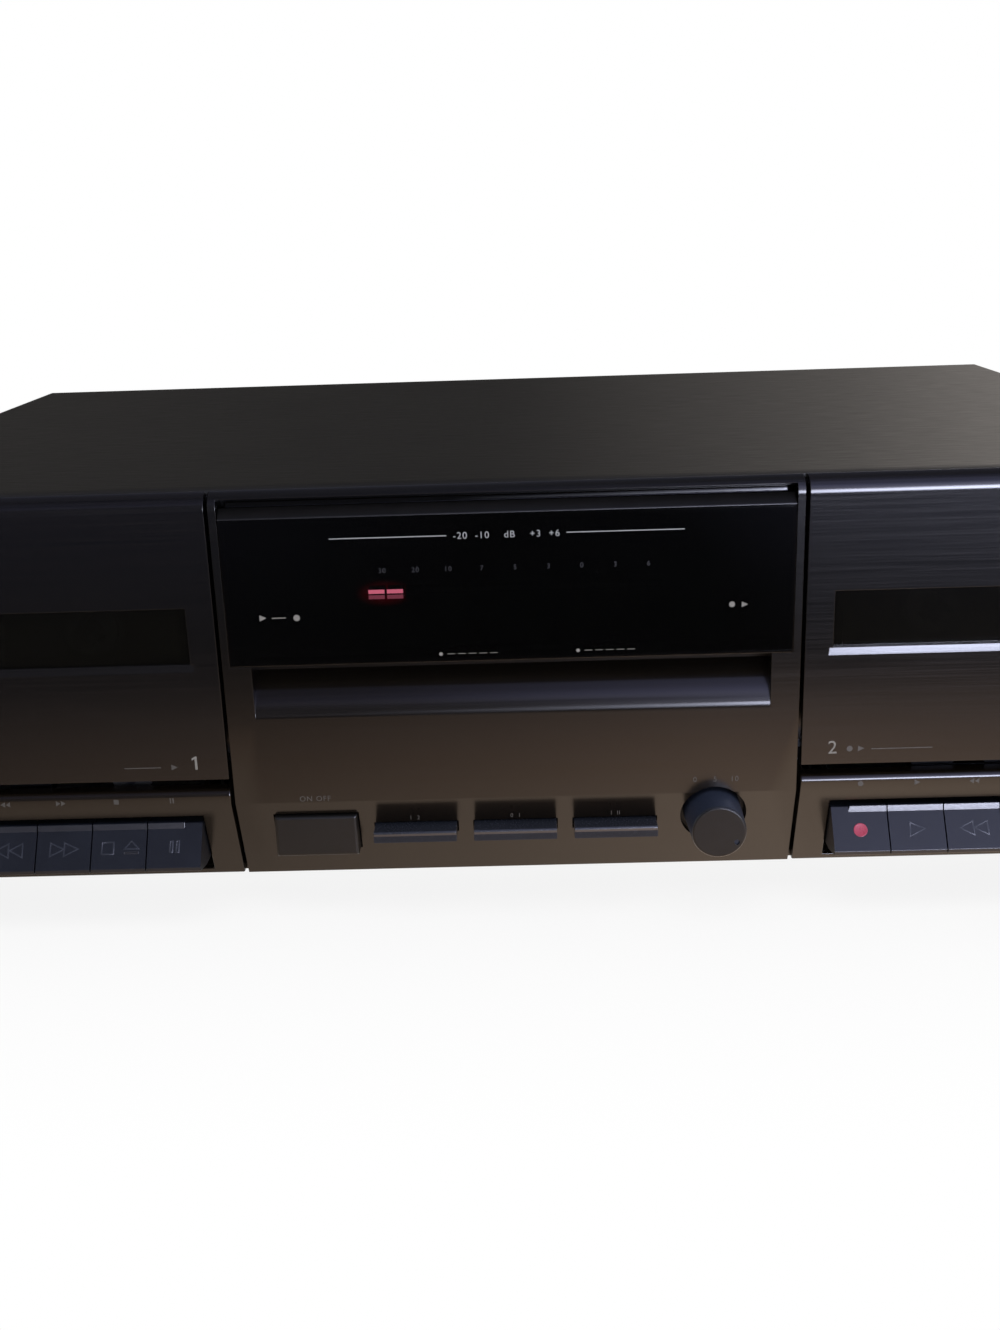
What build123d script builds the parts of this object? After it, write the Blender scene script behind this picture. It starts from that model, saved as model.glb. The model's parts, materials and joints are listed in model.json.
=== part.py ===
"""Double cassette deck as separate pieces, in millimetres, with +Z up.

The origin lies under the middle of the deck, on the surface that its feet stand on.
Depths run backwards from the flat of the front, heights upwards from the front's bottom
edge, and widths to the right from the middle of the case.
"""

from build123d import *

import os
from math import atan2, cos, radians, sin, tan

# Case
case_width = 430.0
case_height = 122.0
case_depth = 268.6
foot_height = 10.0
foot_radius = 11.0
foot_inset_side = 40.0
foot_inset_front = 45.0
foot_inset_rear = 28.0
sheet = 1.0
bend_radius = 2.5
fit_gap = 0.1
pan_flange = 12.0

# Front wall, seen from the side
skin = 2.5
lean_height = 27.4
lean_depth = 9.8
top_radius = 5.0
lip_land = 0.6
groove = 1.2
end_cheek = 1.9
moving_gap = 0.3
inner_wall = 2.0
mech_depth = 23.5
mech_flange_width = 6.0
mech_flange_thickness = 2.0

# Display window and the boards behind it
window_margin = 2.3
window_low = 70.6
window_face_top = 114.7
window_top = 117.5
window_recess_top = 120.2
window_bevel = 3.5
window_rim_height = 1.45
window_rim_inset = 2.1
window_rim_lean = 0.2
window_wall = 2.2
meter_board_depth = 9.0
board_thickness = 1.6
segment_count = 16
segment_pitch = 5.4
segment_width = 4.7
segment_height = 1.2
segment_start = -38.3
segment_rows = (89.7, 91.3)
segment_depth = 4.0

# Finger cove under the window
cove_margin = 6.1
cove_low = 55.2
cove_depth = 10.0
cove_floor_rise = 11.5
cove_wall = 2.2

# Push buttons of the middle panel
control_pitch_share = 0.3584
button_spacing = 5.25
power_extra_width = 0.2
power_low = 9.5
power_high = 22.7
power_length = 16.0
power_edge = 0.6
power_travel = 4.0
power_switch_length = 20.0
small_button_low = 15.2
small_button_high = 18.6
small_button_reach = 4.2
small_button_length = 26.0
small_button_edge = 0.5
small_button_travel = 3.0
button_gap = 0.35
button_stem = 8.0
button_shoulder = 1.6
switch_clearance = 0.6

# Level knob in its well
knob_shift = 0.4
knob_height = 19.2
knob_reach = 11.0
knob_clearance = 1.3
knob_taper = 0.6
knob_edge = 0.8
knob_shaft_radius = 3.0
knob_pointer_angle = 122.0
knob_dimple_radius = 0.8
knob_dimple_depth = 0.7
well_share = 0.3306
well_depth = 8.5
well_wall = 2.0
pot_depth = 26.0
pot_length = 8.0
bush_wall = 1.2
running_gap = 0.05

# Key panels and keys
key_panel_top = 31.9
key_panel_ledge = 6.0
key_panel_round = 2.0
key_opening_inset = 9.5
key_opening_low = 2.0
key_opening_high = 22.9
key_pitch = 16.9
key_gap = 0.4
key_side_gap = 0.2
key_face_top_depth = 1.5
key_face_low_reach = 6.5
key_face_low = 9.8
key_lip = 1.2
key_back_depth = 9.0
key_underside = 7.0
key_top_gap = 1.4
key_strip = 1.9
key_strip_rise = 0.45
key_strip_lean = 0.4
key_strip_notch = 5.3
key_arm_width = 5.0
key_arm_height = 5.0
key_rod_depth = 38.0
key_rod_height = 14.0
key_rod_radius = 1.5
key_hub_radius = 3.5
key_hub_width = 8.0

# Doors
door_side_margin = 6.5
door_bottom = 35.5
pane_low = 71.8
pane_high = 88.8
pane_inset = 8.1
pane_setback = 1.7
pane_thickness = 1.5
pane_gap = 0.05
pane_ledge_side = 1.1
pane_ledge_height = 2.3
pane_ledge_lean = 0.35
hinge_depth = 6.0
hinge_height = 40.5
hinge_pin_radius = 1.5
hinge_ear_radius = 3.0

# Cassette and its holder
cassette_width = 100.4
cassette_height = 63.8
cassette_thickness = 12.0
cassette_bottom = 43.5
cassette_mid_depth = 13.0
holder_clearance = 0.7
holder_sheet = 1.4
holder_hook = 8.0
holder_lip = 5.0
holder_lip_low = 62.0
holder_rail_gap = 2.8

# Tape mechanism
spindle_pitch = 42.5
spindle_height = 77.5
spindle_flange_radius = 8.0
spindle_flange_depth = 20.4
spindle_flange_thickness = 2.0
spindle_hub_radius = 3.6
spindle_fin = 1.3
spindle_tip_depth = 9.0
spindle_shaft_radius = 1.5
spindle_rear_radius = 6.0
plate_thickness = 1.2
plate_margin = 1.1
plate_low = 27.0
plate_high = 112.0
cheek_gap = 4.2
cheek_low = 6.0
cheek_high = 100.0
bracket_depth = 44.8
bracket_low = 30.0
capstan_offset = 31.6
capstan_height = 49.0
capstan_radius = 1.25
capstan_tip_depth = 8.0
capstan_collar_radius = 3.5
capstan_collar_length = 4.5
flywheel_radius = 23.0
flywheel_depth = 31.0
flywheel_thickness = 7.0
pulley_radius = 4.0
motor_offset = -30.0
motor_height = 60.0
motor_radius = 14.0
motor_length = 24.0
motor_shaft_radius = 1.0
belt_width = 4.0
belt_thickness = 0.8
belt_gap = 0.3

# Head bridge and pinch roller
bridge_travel = 8.0
bridge_half = 40.0
bridge_low = 29.0
bridge_high = 41.0
bridge_gap = 0.4
bridge_shelf = 2.0
head_width = 13.0
head_reach = 8.0
head_high = 42.0
erase_head_offset = -22.0
roller_radius = 6.2
roller_width = 8.0
roller_contact_gap = 0.3
axle_radius = 1.0
axle_cap_radius = 1.9

# Rear and inner fittings
transformer_inset = 65.0
transformer_from_rear = 63.6
transformer_width = 60.0
transformer_length = 48.0
transformer_height = 50.0
winding_overhang = 7.0
board_height = 9.4
board_tongue_margin = 6.4
board_tongue_depth = 27.0
board_wide_depth = 95.0
board_rear_gap = 18.6
board_left_inset = 115.0
board_right_inset = 15.0
post_radius = 3.0
post_front_inset = 16.0
inlet_inset = 35.0
inlet_height = 32.0
inlet_socket_width = 16.0
inlet_socket_height = 9.0
inlet_socket_depth = 11.0
inlet_wall = 3.0
inlet_pin_spacing = 8.6
inlet_pin_radius = 1.2
jack_radius = 4.15
jack_bore_radius = 1.7
jack_collar_radius = 5.0
jack_length = 9.0
jack_inset = 45.0
jack_column_pitch = 22.0
jack_low = 26.0
jack_row_pitch = 18.0
vent_count = 9
vent_width = 2.4
vent_height = 40.0
vent_pitch = 8.0

# Screws
screw_head_radius = 3.4
screw_head_height = 1.8
screw_radius = 1.4
screw_length = 6.0
screw_gap = 0.1
mech_screw_inset = 2.0
mech_screw_head_radius = 2.6
cover_screw_front = 70.0
cover_screw_rear_gap = 43.6
cover_screw_height = 7.0
rear_screw_inset = 10.0
rear_screw_middle = 60.0
mech_screw_heights = (34.0, 105.0)

# Worked-out places
case_half = case_width / 2
front_y = (knob_reach - case_depth - jack_length) / 2
lean_angle = atan2(lean_depth, lean_height)
lip_depth = top_radius + lip_land
holder_half = cassette_width / 2 + holder_clearance
cheek_half = holder_half + holder_sheet + cheek_gap + plate_thickness / 2
door_width = 2 * (cheek_half + door_side_margin)
door_outer = case_half - end_cheek - moving_gap
door_inner = door_outer - door_width
door_centre = (door_inner + door_outer) / 2
centre_half = door_inner - groove
window_half = centre_half - window_margin
cove_half = window_half - cove_margin
control_pitch = centre_half * control_pitch_share
small_button_width = control_pitch - button_spacing
power_width = small_button_width + power_extra_width
power_centre = -2 * control_pitch
knob_centre = 2 * control_pitch - knob_shift
well_radius = control_pitch * well_share
knob_base_radius = well_radius - knob_clearance
knob_face_radius = knob_base_radius - knob_taper
key_opening_inner = door_inner + key_opening_inset
inside_half = case_half - sheet - fit_gap
roof_top = case_height - sheet - fit_gap
roof_low = roof_top - inner_wall
floor_depth = lean_depth + skin / cos(lean_angle)
rear_panel_depth = case_depth - sheet
pane_half = door_width / 2 - pane_inset
holder_back = cassette_mid_depth + cassette_thickness / 2 + holder_clearance - fit_gap
holder_front = pane_setback + pane_thickness + 2 * pane_gap
cassette_top = cassette_bottom + cassette_height
plate_half = door_width / 2 - plate_margin
mech_screw_offset = plate_half - mech_screw_inset
plate_back = mech_depth + plate_thickness
bridge_back = mech_depth - bridge_gap
bridge_front = bridge_back - plate_thickness
roller_height = capstan_height - capstan_radius - roller_radius - roller_contact_gap - bridge_travel
roller_front = cassette_mid_depth - roller_width / 2
board_top = board_height + board_thickness
board_tongue_half = centre_half - board_tongue_margin
board_rear_depth = case_depth - board_rear_gap
board_left = board_left_inset - case_half
board_right = case_half - board_right_inset
transformer_across = transformer_inset - case_half
transformer_depth = case_depth - transformer_from_rear
inlet_across = inlet_inset - case_half
jack_columns = (case_half - jack_inset - jack_column_pitch, case_half - jack_inset)
jack_rows = (jack_low, jack_low + jack_row_pitch)
cover_screw_depths = (cover_screw_front, case_depth - cover_screw_rear_gap)
rear_screw_outer = case_half - rear_screw_inset
rear_screw_across = (-rear_screw_outer, -rear_screw_middle, rear_screw_middle, rear_screw_outer)
pot_radius = knob_height - board_top - moving_gap
decks = {"a": -door_centre, "b": door_centre}
key_rows = {
    "a": ("pause", "stop", "forward", "rewind", "play"),
    "b": ("record", "play", "rewind", "forward", "stop", "pause"),
}
notched_keys = ("key_a_pause", "key_b_record")
small_buttons = {"speed_button": -1, "noise_button": 0, "tape_button": 1}
head_offsets = {"a": (0.0,), "b": (0.0, erase_head_offset)}


def face_plane(depth):
    """A plane that faces the viewer at this depth, drawn in (across, height)."""
    return Plane(origin=(0, front_y + depth, foot_height), x_dir=(1, 0, 0), z_dir=(0, -1, 0))


def side_plane(across):
    """A plane that faces right at this place, drawn in (depth, height)."""
    return Plane(origin=(across, front_y, foot_height), x_dir=(0, 1, 0), z_dir=(1, 0, 0))


def plan_plane(height):
    """A level plane at this height, drawn in (across, depth)."""
    return Plane(origin=(0, front_y, foot_height + height), x_dir=(1, 0, 0), z_dir=(0, 0, 1))


def block(across, depth, height, mode=Mode.ADD):
    """Add a box to the current piece, given as three (low, high) spans."""
    spans = (sorted(across), sorted(depth), sorted(height))
    middle = [(low + high) / 2 for low, high in spans]
    with Locations((middle[0], front_y + middle[1], foot_height + middle[2])):
        Box(*[high - low for low, high in spans], mode=mode)


def lengthwise_bar(across, height, depth, radius, mode=Mode.ADD):
    """Add a round bar that runs front to back over a (low, high) depth span."""
    middle = front_y + sum(depth) / 2
    with Locations(Location((across, middle, foot_height + height), (90, 0, 0))):
        Cylinder(radius, depth[1] - depth[0], mode=mode)


def cross_bar(depth, height, across, radius, mode=Mode.ADD):
    """Add a round bar that runs left to right over a (low, high) span."""
    with Locations(Location((sum(across) / 2, front_y + depth, foot_height + height), (0, 90, 0))):
        Cylinder(radius, across[1] - across[0], mode=mode)


def post(across, depth, height, radius, mode=Mode.ADD):
    """Add an upright round bar over a (low, high) height span."""
    with Locations((across, front_y + depth, foot_height + sum(height) / 2)):
        Cylinder(radius, height[1] - height[0], mode=mode)


def draw_front_edge():
    """Draw the front's outer edge from the bottom to the rounded top."""
    Polyline((lean_depth, 0), (0, lean_height), (0, case_height - top_radius))
    CenterArc((top_radius, case_height - top_radius), top_radius, 180, -90)


def draw_front_solid(*back):
    """Draw the front's outer edge, closed through these points from the top down."""
    draw_front_edge()
    Polyline((top_radius, case_height), *back, (lean_depth, 0))


def draw_front_skin(back_depth):
    """Draw the front wall as an even skin whose top edge ends at this depth."""
    crease = skin * (1 - sin(lean_angle)) / cos(lean_angle)
    draw_front_edge()
    Polyline(
        (top_radius, case_height),
        (back_depth, case_height),
        (back_depth, case_height - skin),
        (top_radius, case_height - skin),
    )
    CenterArc((top_radius, case_height - top_radius), top_radius - skin, 90, 90)
    Polyline(
        (skin, case_height - top_radius),
        (skin, lean_height - skin + crease),
        (floor_depth, 0),
        (lean_depth, 0),
    )


def save(piece, name):
    """Name a finished piece and write its STEP file."""
    piece.part.label = name
    export_step(piece.part, f"parts/{name}.step")


def mirrored(low, high, hand):
    """A span on the left (-1) or right (1) of the middle, lowest value first."""
    return sorted((hand * low, hand * high))


os.makedirs("parts", exist_ok=True)

# Fascia: middle panel, pillars, end cheeks and the walls that carry the rest
tongue_span = (door_outer + moving_gap, inside_half)
with BuildPart() as fascia:
    with BuildSketch(side_plane(-centre_half)):
        with BuildLine():
            draw_front_skin(lip_depth)
        make_face()
    extrude(amount=2 * centre_half)
    for hand in (-1, 1):
        wall = mirrored(centre_half - inner_wall, centre_half, hand)
        with BuildSketch(side_plane(wall[0])):
            with BuildLine():
                draw_front_solid((mech_depth, case_height), (mech_depth, 0))
            make_face()
        extrude(amount=inner_wall)
        tongue = mirrored(*tongue_span, hand)
        with BuildSketch(side_plane(tongue[0])):
            with BuildLine():
                draw_front_solid((mech_depth, case_height), (mech_depth, 0))
            make_face()
        extrude(amount=tongue[1] - tongue[0])
        cheek = mirrored(tongue_span[0], case_half, hand)
        with BuildSketch(side_plane(cheek[0])):
            with BuildLine():
                draw_front_solid(
                    (lip_depth, case_height),
                    (lip_depth, lean_height),
                    (lip_depth + lean_depth, 0),
                )
            make_face()
        extrude(amount=cheek[1] - cheek[0])
        inner_flange = mirrored(centre_half, centre_half + mech_flange_width, hand)
        outer_flange = mirrored(tongue_span[0] - mech_flange_width, tongue_span[0], hand)
        for flange in (inner_flange, outer_flange):
            block(flange, (mech_depth - mech_flange_thickness, mech_depth), (0, roof_low))
    block((-inside_half, inside_half), (lip_depth, mech_depth), (roof_low, roof_top))
    block((-inside_half, inside_half), (floor_depth, mech_depth), (0, inner_wall))
    block((-centre_half, centre_half), (floor_depth - skin / 2, floor_depth), (0, inner_wall))
    block(
        (-inside_half, inside_half),
        (lip_depth, mech_depth),
        (roof_top, case_height),
        mode=Mode.SUBTRACT,
    )
    block(
        (-window_half - fit_gap, window_half + fit_gap),
        (-1, lip_depth),
        (window_low - fit_gap, window_recess_top),
        mode=Mode.SUBTRACT,
    )
    cove_top = window_low - fit_gap
    cove_back = cove_depth + cove_wall
    with BuildSketch(side_plane(-cove_half - cove_wall)):
        with BuildLine():
            Polyline(
                (skin / 2, cove_low - cove_wall - skin),
                (skin / 2, cove_top),
                (window_wall + moving_gap, cove_top),
                (window_wall + moving_gap, cove_top + cove_wall),
                (cove_back, cove_top + cove_wall),
                (cove_back, cove_low + cove_floor_rise / 2),
                (cove_back / 2, cove_low - cove_wall - skin),
                close=True,
            )
        make_face()
    extrude(amount=2 * (cove_half + cove_wall))
    with BuildSketch(side_plane(-cove_half)):
        with BuildLine():
            Polyline((0, cove_low), (-1, cove_low), (-1, cove_top), (cove_depth, cove_top))
            Line((cove_depth, cove_top), (cove_depth, cove_low + cove_floor_rise))
            RadiusArc((cove_depth, cove_low + cove_floor_rise), (0, cove_low), -2 * cove_depth)
        make_face()
    extrude(amount=2 * cove_half, mode=Mode.SUBTRACT)
    power_opening = power_width / 2 + button_gap
    block(
        (power_centre - power_opening, power_centre + power_opening),
        (-1, floor_depth),
        (power_low - button_gap, power_high + button_gap),
        mode=Mode.SUBTRACT,
    )
    for place in small_buttons.values():
        slot = small_button_width / 2 + button_gap
        middle = place * control_pitch
        block(
            (middle - slot, middle + slot),
            (-1, floor_depth),
            (small_button_low - button_gap, small_button_high + button_gap),
            mode=Mode.SUBTRACT,
        )
    well_back = well_depth + well_wall
    lengthwise_bar(knob_centre, knob_height, (skin, well_back), well_radius + well_wall)
    with BuildSketch(side_plane(knob_centre - well_radius - well_wall)):
        with BuildLine():
            Polyline(
                (-1, 0),
                (-1, case_height),
                (0, case_height),
                (0, lean_height),
                (lean_depth, 0),
                close=True,
            )
        make_face()
    extrude(amount=2 * (well_radius + well_wall), mode=Mode.SUBTRACT)
    lengthwise_bar(knob_centre, knob_height, (-1, well_depth), well_radius, mode=Mode.SUBTRACT)
    bush_radius = knob_shaft_radius + bush_wall
    lengthwise_bar(knob_centre, knob_height, (0, well_back + 1), bush_radius + fit_gap, mode=Mode.SUBTRACT)
    for centre in decks.values():
        for hand in (-1, 1):
            for height in mech_screw_heights:
                lengthwise_bar(
                    centre + hand * mech_screw_offset,
                    height,
                    (mech_depth - mech_flange_thickness - 1, mech_depth + 1),
                    screw_radius + screw_gap,
                    mode=Mode.SUBTRACT,
                )
save(fascia, "fascia")

# Display window: a black acrylic moulding with a bevelled top and a low rim behind the bevel
window_back = lip_depth - moving_gap
rim_half = window_half - window_rim_inset
with BuildPart() as display_window:
    with BuildSketch(side_plane(-window_half)):
        with BuildLine():
            Polyline(
                (0, window_low),
                (0, window_face_top),
                (window_bevel, window_top),
                (window_back, window_top),
                (window_wall, window_face_top - window_wall / 2),
                (window_wall, window_low),
                close=True,
            )
        make_face()
    extrude(amount=2 * window_half)
    with BuildSketch(side_plane(-rim_half)):
        with BuildLine():
            Polyline(
                (window_bevel, window_top),
                (window_bevel + window_rim_lean, window_top + window_rim_height),
                (window_back, window_top + window_rim_height),
                (window_back, window_top),
                close=True,
            )
        make_face()
    extrude(amount=2 * rim_half)
save(display_window, "display_window")

# Meter board and its light segments behind the window
meter_board_half = centre_half - inner_wall - fit_gap
with BuildPart() as meter_board:
    block(
        (-meter_board_half, meter_board_half),
        (meter_board_depth, meter_board_depth + board_thickness),
        (window_low + cove_wall + moving_gap, roof_low - moving_gap),
    )
save(meter_board, "meter_board")

with BuildPart() as meter_segments:
    with BuildSketch(face_plane(meter_board_depth)):
        for row in segment_rows:
            for number in range(segment_count):
                with Locations((segment_start + number * segment_pitch, row)):
                    Rectangle(segment_width, segment_height)
    extrude(amount=meter_board_depth - segment_depth)
save(meter_segments, "meter_segments")

# Key panels under the doors
for side, centre in decks.items():
    hand = -1 if centre < 0 else 1
    opening_outer = key_opening_inner + len(key_rows[side]) * key_pitch + key_side_gap
    opening = mirrored(key_opening_inner, opening_outer, hand)
    panel_span = (centre - door_width / 2, centre + door_width / 2)
    with BuildPart() as key_panel:
        with BuildSketch(side_plane(panel_span[0])):
            with BuildLine():
                draw_front_skin(lip_depth)
            make_face()
        extrude(amount=door_width)
        block(
            panel_span,
            (skin / 2, key_panel_ledge),
            (key_panel_top - inner_wall, key_panel_top),
        )
        closers = (
            panel_span[0],
            opening[0] - inner_wall,
            opening[1],
            panel_span[1] - inner_wall,
        )
        for start in closers:
            with BuildSketch(side_plane(start)):
                with BuildLine():
                    back = mech_depth - mech_flange_thickness
                    draw_front_solid((back, case_height), (back, inner_wall), (lean_depth, inner_wall))
                make_face()
            extrude(amount=inner_wall)
        block(panel_span, (-1, mech_depth), (0, key_panel_top), mode=Mode.INTERSECT)
        block(
            opening,
            (-1, floor_depth),
            (key_opening_low, key_opening_high),
            mode=Mode.SUBTRACT,
        )
        round_start = key_panel_top - key_panel_round
        with BuildSketch(side_plane(panel_span[0])):
            with BuildLine():
                CenterArc((key_panel_round, round_start), key_panel_round, 90, 90)
                Polyline(
                    (0, round_start),
                    (-1, round_start),
                    (-1, key_panel_top + 1),
                    (key_panel_round, key_panel_top + 1),
                    (key_panel_round, key_panel_top),
                )
            make_face()
        extrude(amount=door_width, mode=Mode.SUBTRACT)
    save(key_panel, f"key_panel_{side}")

# Doors with their panes and cassette holders
for side, centre in decks.items():
    with BuildPart() as door_panel:
        with BuildSketch(side_plane(centre - door_width / 2)):
            with BuildLine():
                draw_front_skin(lip_depth - moving_gap)
            make_face()
        extrude(amount=door_width)
        block(
            (centre - door_width / 2, centre + door_width / 2),
            (0, lip_depth),
            (door_bottom, case_height),
            mode=Mode.INTERSECT,
        )
        block(
            (centre - pane_half, centre + pane_half),
            (-1, skin + 1),
            (pane_low, pane_high),
            mode=Mode.SUBTRACT,
        )
        ledge_half = pane_half + pane_ledge_side
        with BuildSketch(side_plane(centre - ledge_half)):
            with BuildLine():
                Polyline(
                    (0, pane_low - pane_ledge_height),
                    (pane_ledge_lean, pane_low),
                    (-1, pane_low),
                    (-1, pane_low - pane_ledge_height),
                    close=True,
                )
            make_face()
        extrude(amount=2 * ledge_half, mode=Mode.SUBTRACT)
    save(door_panel, f"door_panel_{side}")

    with BuildPart() as door_window:
        block(
            (centre - pane_half + pane_gap, centre + pane_half - pane_gap),
            (pane_setback, pane_setback + pane_thickness),
            (pane_low + pane_gap, pane_high - pane_gap),
        )
    save(door_window, f"door_window_{side}")

    rail_back = skin + holder_sheet
    outer = holder_half + holder_sheet
    with BuildPart() as cassette_holder:
        for hand in (-1, 1):
            plate = mirrored(holder_half, outer, hand)
            with BuildSketch(side_plane(centre + plate[0])):
                with BuildLine():
                    Polyline(
                        (holder_front, hinge_height),
                        (holder_front, cassette_top),
                        (holder_back, cassette_top),
                        (holder_back, cassette_bottom - holder_sheet),
                        (hinge_depth + hinge_ear_radius, cassette_bottom - holder_sheet),
                        (hinge_depth + hinge_ear_radius, hinge_height),
                        close=True,
                    )
                make_face()
                with Locations((hinge_depth, hinge_height)):
                    Circle(hinge_ear_radius)
            extrude(amount=holder_sheet)
            pin = mirrored(outer - holder_sheet / 2, cheek_half + plate_thickness / 2, hand)
            cross_bar(
                hinge_depth,
                hinge_height,
                (centre + pin[0], centre + pin[1]),
                hinge_pin_radius,
            )
            hook = mirrored(outer - holder_hook, outer, hand)
            block(
                (centre + hook[0], centre + hook[1]),
                (skin, holder_back),
                (cassette_bottom - holder_sheet, cassette_bottom),
            )
            lip = mirrored(outer - holder_lip, outer, hand)
            block(
                (centre + lip[0], centre + lip[1]),
                (holder_back - holder_sheet, holder_back),
                (holder_lip_low, cassette_top),
            )
        for rail in (
            (cassette_bottom, pane_low - holder_rail_gap),
            (pane_high + holder_rail_gap, cassette_top),
        ):
            block((centre - outer, centre + outer), (skin, rail_back), rail)
    save(cassette_holder, f"cassette_holder_{side}")

# Piano keys, each on an arm that turns about the rod behind
strip_top = key_opening_high - key_top_gap
strip_foot = strip_top - key_strip
face_top = strip_top - key_strip_rise
slope = atan2(face_top - key_face_low, key_face_top_depth + key_face_low_reach)
strip_depth = key_face_top_depth - (face_top - strip_foot) / tan(slope)
for side, names in key_rows.items():
    hand = -1 if side == "a" else 1
    for number, key_name in enumerate(names):
        inner = key_opening_inner + key_side_gap + number * key_pitch
        span = mirrored(inner, inner + key_pitch - key_gap, hand)
        middle = sum(span) / 2
        name = f"key_{side}_{key_name}"
        notch = key_strip_notch if name in notched_keys else 0.0
        strip_span = mirrored(inner + notch, inner + key_pitch - key_gap, hand)
        with BuildPart() as key:
            with BuildSketch(side_plane(span[0])):
                with BuildLine():
                    Polyline(
                        (key_face_top_depth, face_top),
                        (-key_face_low_reach, key_face_low),
                        (-key_face_low_reach + key_strip_rise / 2, key_face_low - key_lip),
                        (key_face_top_depth, key_underside),
                        (key_back_depth, key_underside),
                        (key_back_depth, face_top - key_strip_rise),
                        close=True,
                    )
                make_face()
            extrude(amount=span[1] - span[0])
            with BuildSketch(side_plane(strip_span[0])):
                with BuildLine():
                    Polyline(
                        (strip_depth, strip_foot),
                        (strip_depth + key_strip_lean, strip_top),
                        (key_face_top_depth + key_lip, strip_top),
                        (key_face_top_depth + key_lip, strip_foot),
                        close=True,
                    )
                make_face()
            extrude(amount=strip_span[1] - strip_span[0])
            block(
                (middle - key_arm_width / 2, middle + key_arm_width / 2),
                (key_back_depth - 1, key_rod_depth),
                (key_rod_height - key_arm_height, key_rod_height),
            )
            hub_span = (middle - key_hub_width / 2, middle + key_hub_width / 2)
            cross_bar(key_rod_depth, key_rod_height, hub_span, key_hub_radius)
            cross_bar(
                key_rod_depth,
                key_rod_height,
                hub_span,
                key_rod_radius + running_gap,
                mode=Mode.SUBTRACT,
            )
        save(key, name)

# Rods that the keys turn on, one per deck
with BuildPart() as key_rods:
    for centre in decks.values():
        reach = cheek_half + plate_thickness / 2
        cross_bar(key_rod_depth, key_rod_height, (centre - reach, centre + reach), key_rod_radius)
save(key_rods, "key_rods")

# Power button, with a stem towards its switch
with BuildPart() as power_button:
    with BuildSketch(face_plane(0)):
        with Locations((power_centre, (power_low + power_high) / 2)):
            Rectangle(power_width, power_high - power_low)
    extrude(amount=-power_length)
    front_face = power_button.faces().sort_by(Axis.Y)[0]
    chamfer(front_face.edges(), power_edge)
    power_middle = (power_low + power_high) / 2
    power_stem_end = power_length + button_stem
    block(
        (power_centre - button_stem / 2, power_centre + button_stem / 2),
        (power_length - 1, power_stem_end),
        (power_middle - button_stem / 4, power_middle + button_stem / 4),
    )
save(power_button, "power_button")

# Three small push buttons
for name, place in small_buttons.items():
    middle = place * control_pitch
    shoulder_depth = floor_depth - small_button_low * lean_depth / lean_height + 2 * button_shoulder
    with BuildPart() as small_button:
        block(
            (middle - small_button_width / 2, middle + small_button_width / 2),
            (-small_button_reach, shoulder_depth),
            (small_button_low, small_button_high),
        )
        front_face = small_button.faces().sort_by(Axis.Y)[0]
        chamfer(front_face.edges().group_by(Axis.Z)[-1], small_button_edge)
        half = small_button_width / 2 + button_shoulder
        block(
            (middle - half, middle + half),
            (shoulder_depth, shoulder_depth + button_shoulder),
            (small_button_low - button_shoulder, small_button_high + button_shoulder),
        )
        block(
            (middle - button_stem / 2, middle + button_stem / 2),
            (shoulder_depth, small_button_length),
            (small_button_low, small_button_high),
        )
    save(small_button, name)

# Switches on the board behind the four buttons
with BuildPart() as button_switches:
    power_switch_front = power_stem_end + power_travel + switch_clearance
    power_switch_half = (power_width - button_stem) / 2
    block(
        (power_centre - power_switch_half, power_centre + power_switch_half),
        (power_switch_front, power_switch_front + power_switch_length),
        (board_top, power_high),
    )
    switch_front = small_button_length + small_button_travel + switch_clearance
    for place in small_buttons.values():
        middle = place * control_pitch
        block(
            (middle - button_stem, middle + button_stem),
            (switch_front, switch_front + 2 * button_stem),
            (board_top, small_button_high + button_shoulder),
        )
save(button_switches, "button_switches")

# Level knob with its shaft, and the potentiometer that it turns
with BuildPart() as level_knob:
    knob_back = well_depth - 2 * moving_gap
    with BuildSketch(Plane(origin=(knob_centre, front_y, foot_height + knob_height), z_dir=(0, 0, 1))):
        with BuildLine():
            Polyline(
                (0, -knob_reach),
                (knob_face_radius, -knob_reach),
                (knob_base_radius, knob_back),
                (0, knob_back),
                close=True,
            )
        make_face()
    revolve(axis=Axis((knob_centre, front_y, foot_height + knob_height), (0, 1, 0)))
    rim = level_knob.edges().filter_by(GeomType.CIRCLE).sort_by(Axis.Y)[0]
    fillet(rim, knob_edge)
    dimple_reach = knob_face_radius - knob_edge - knob_dimple_radius - moving_gap
    lengthwise_bar(
        knob_centre + dimple_reach * sin(radians(knob_pointer_angle)),
        knob_height + dimple_reach * cos(radians(knob_pointer_angle)),
        (-knob_reach - 1, -knob_reach + knob_dimple_depth),
        knob_dimple_radius,
        mode=Mode.SUBTRACT,
    )
    lengthwise_bar(knob_centre, knob_height, (knob_back - 1, pot_depth + pot_length / 2), knob_shaft_radius)
save(level_knob, "level_knob")

with BuildPart() as level_potentiometer:
    lengthwise_bar(knob_centre, knob_height, (well_depth + moving_gap, pot_depth + 1), bush_radius)
    lengthwise_bar(knob_centre, knob_height, (pot_depth, pot_depth + pot_length), pot_radius)
    block(
        (knob_centre - pot_radius / 2, knob_centre + pot_radius / 2),
        (pot_depth + 1, pot_depth + pot_length - 1),
        (board_top, knob_height),
    )
    lengthwise_bar(
        knob_centre,
        knob_height,
        (0, pot_depth + pot_length / 2 + moving_gap),
        knob_shaft_radius + running_gap,
        mode=Mode.SUBTRACT,
    )
save(level_potentiometer, "level_potentiometer")

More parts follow.
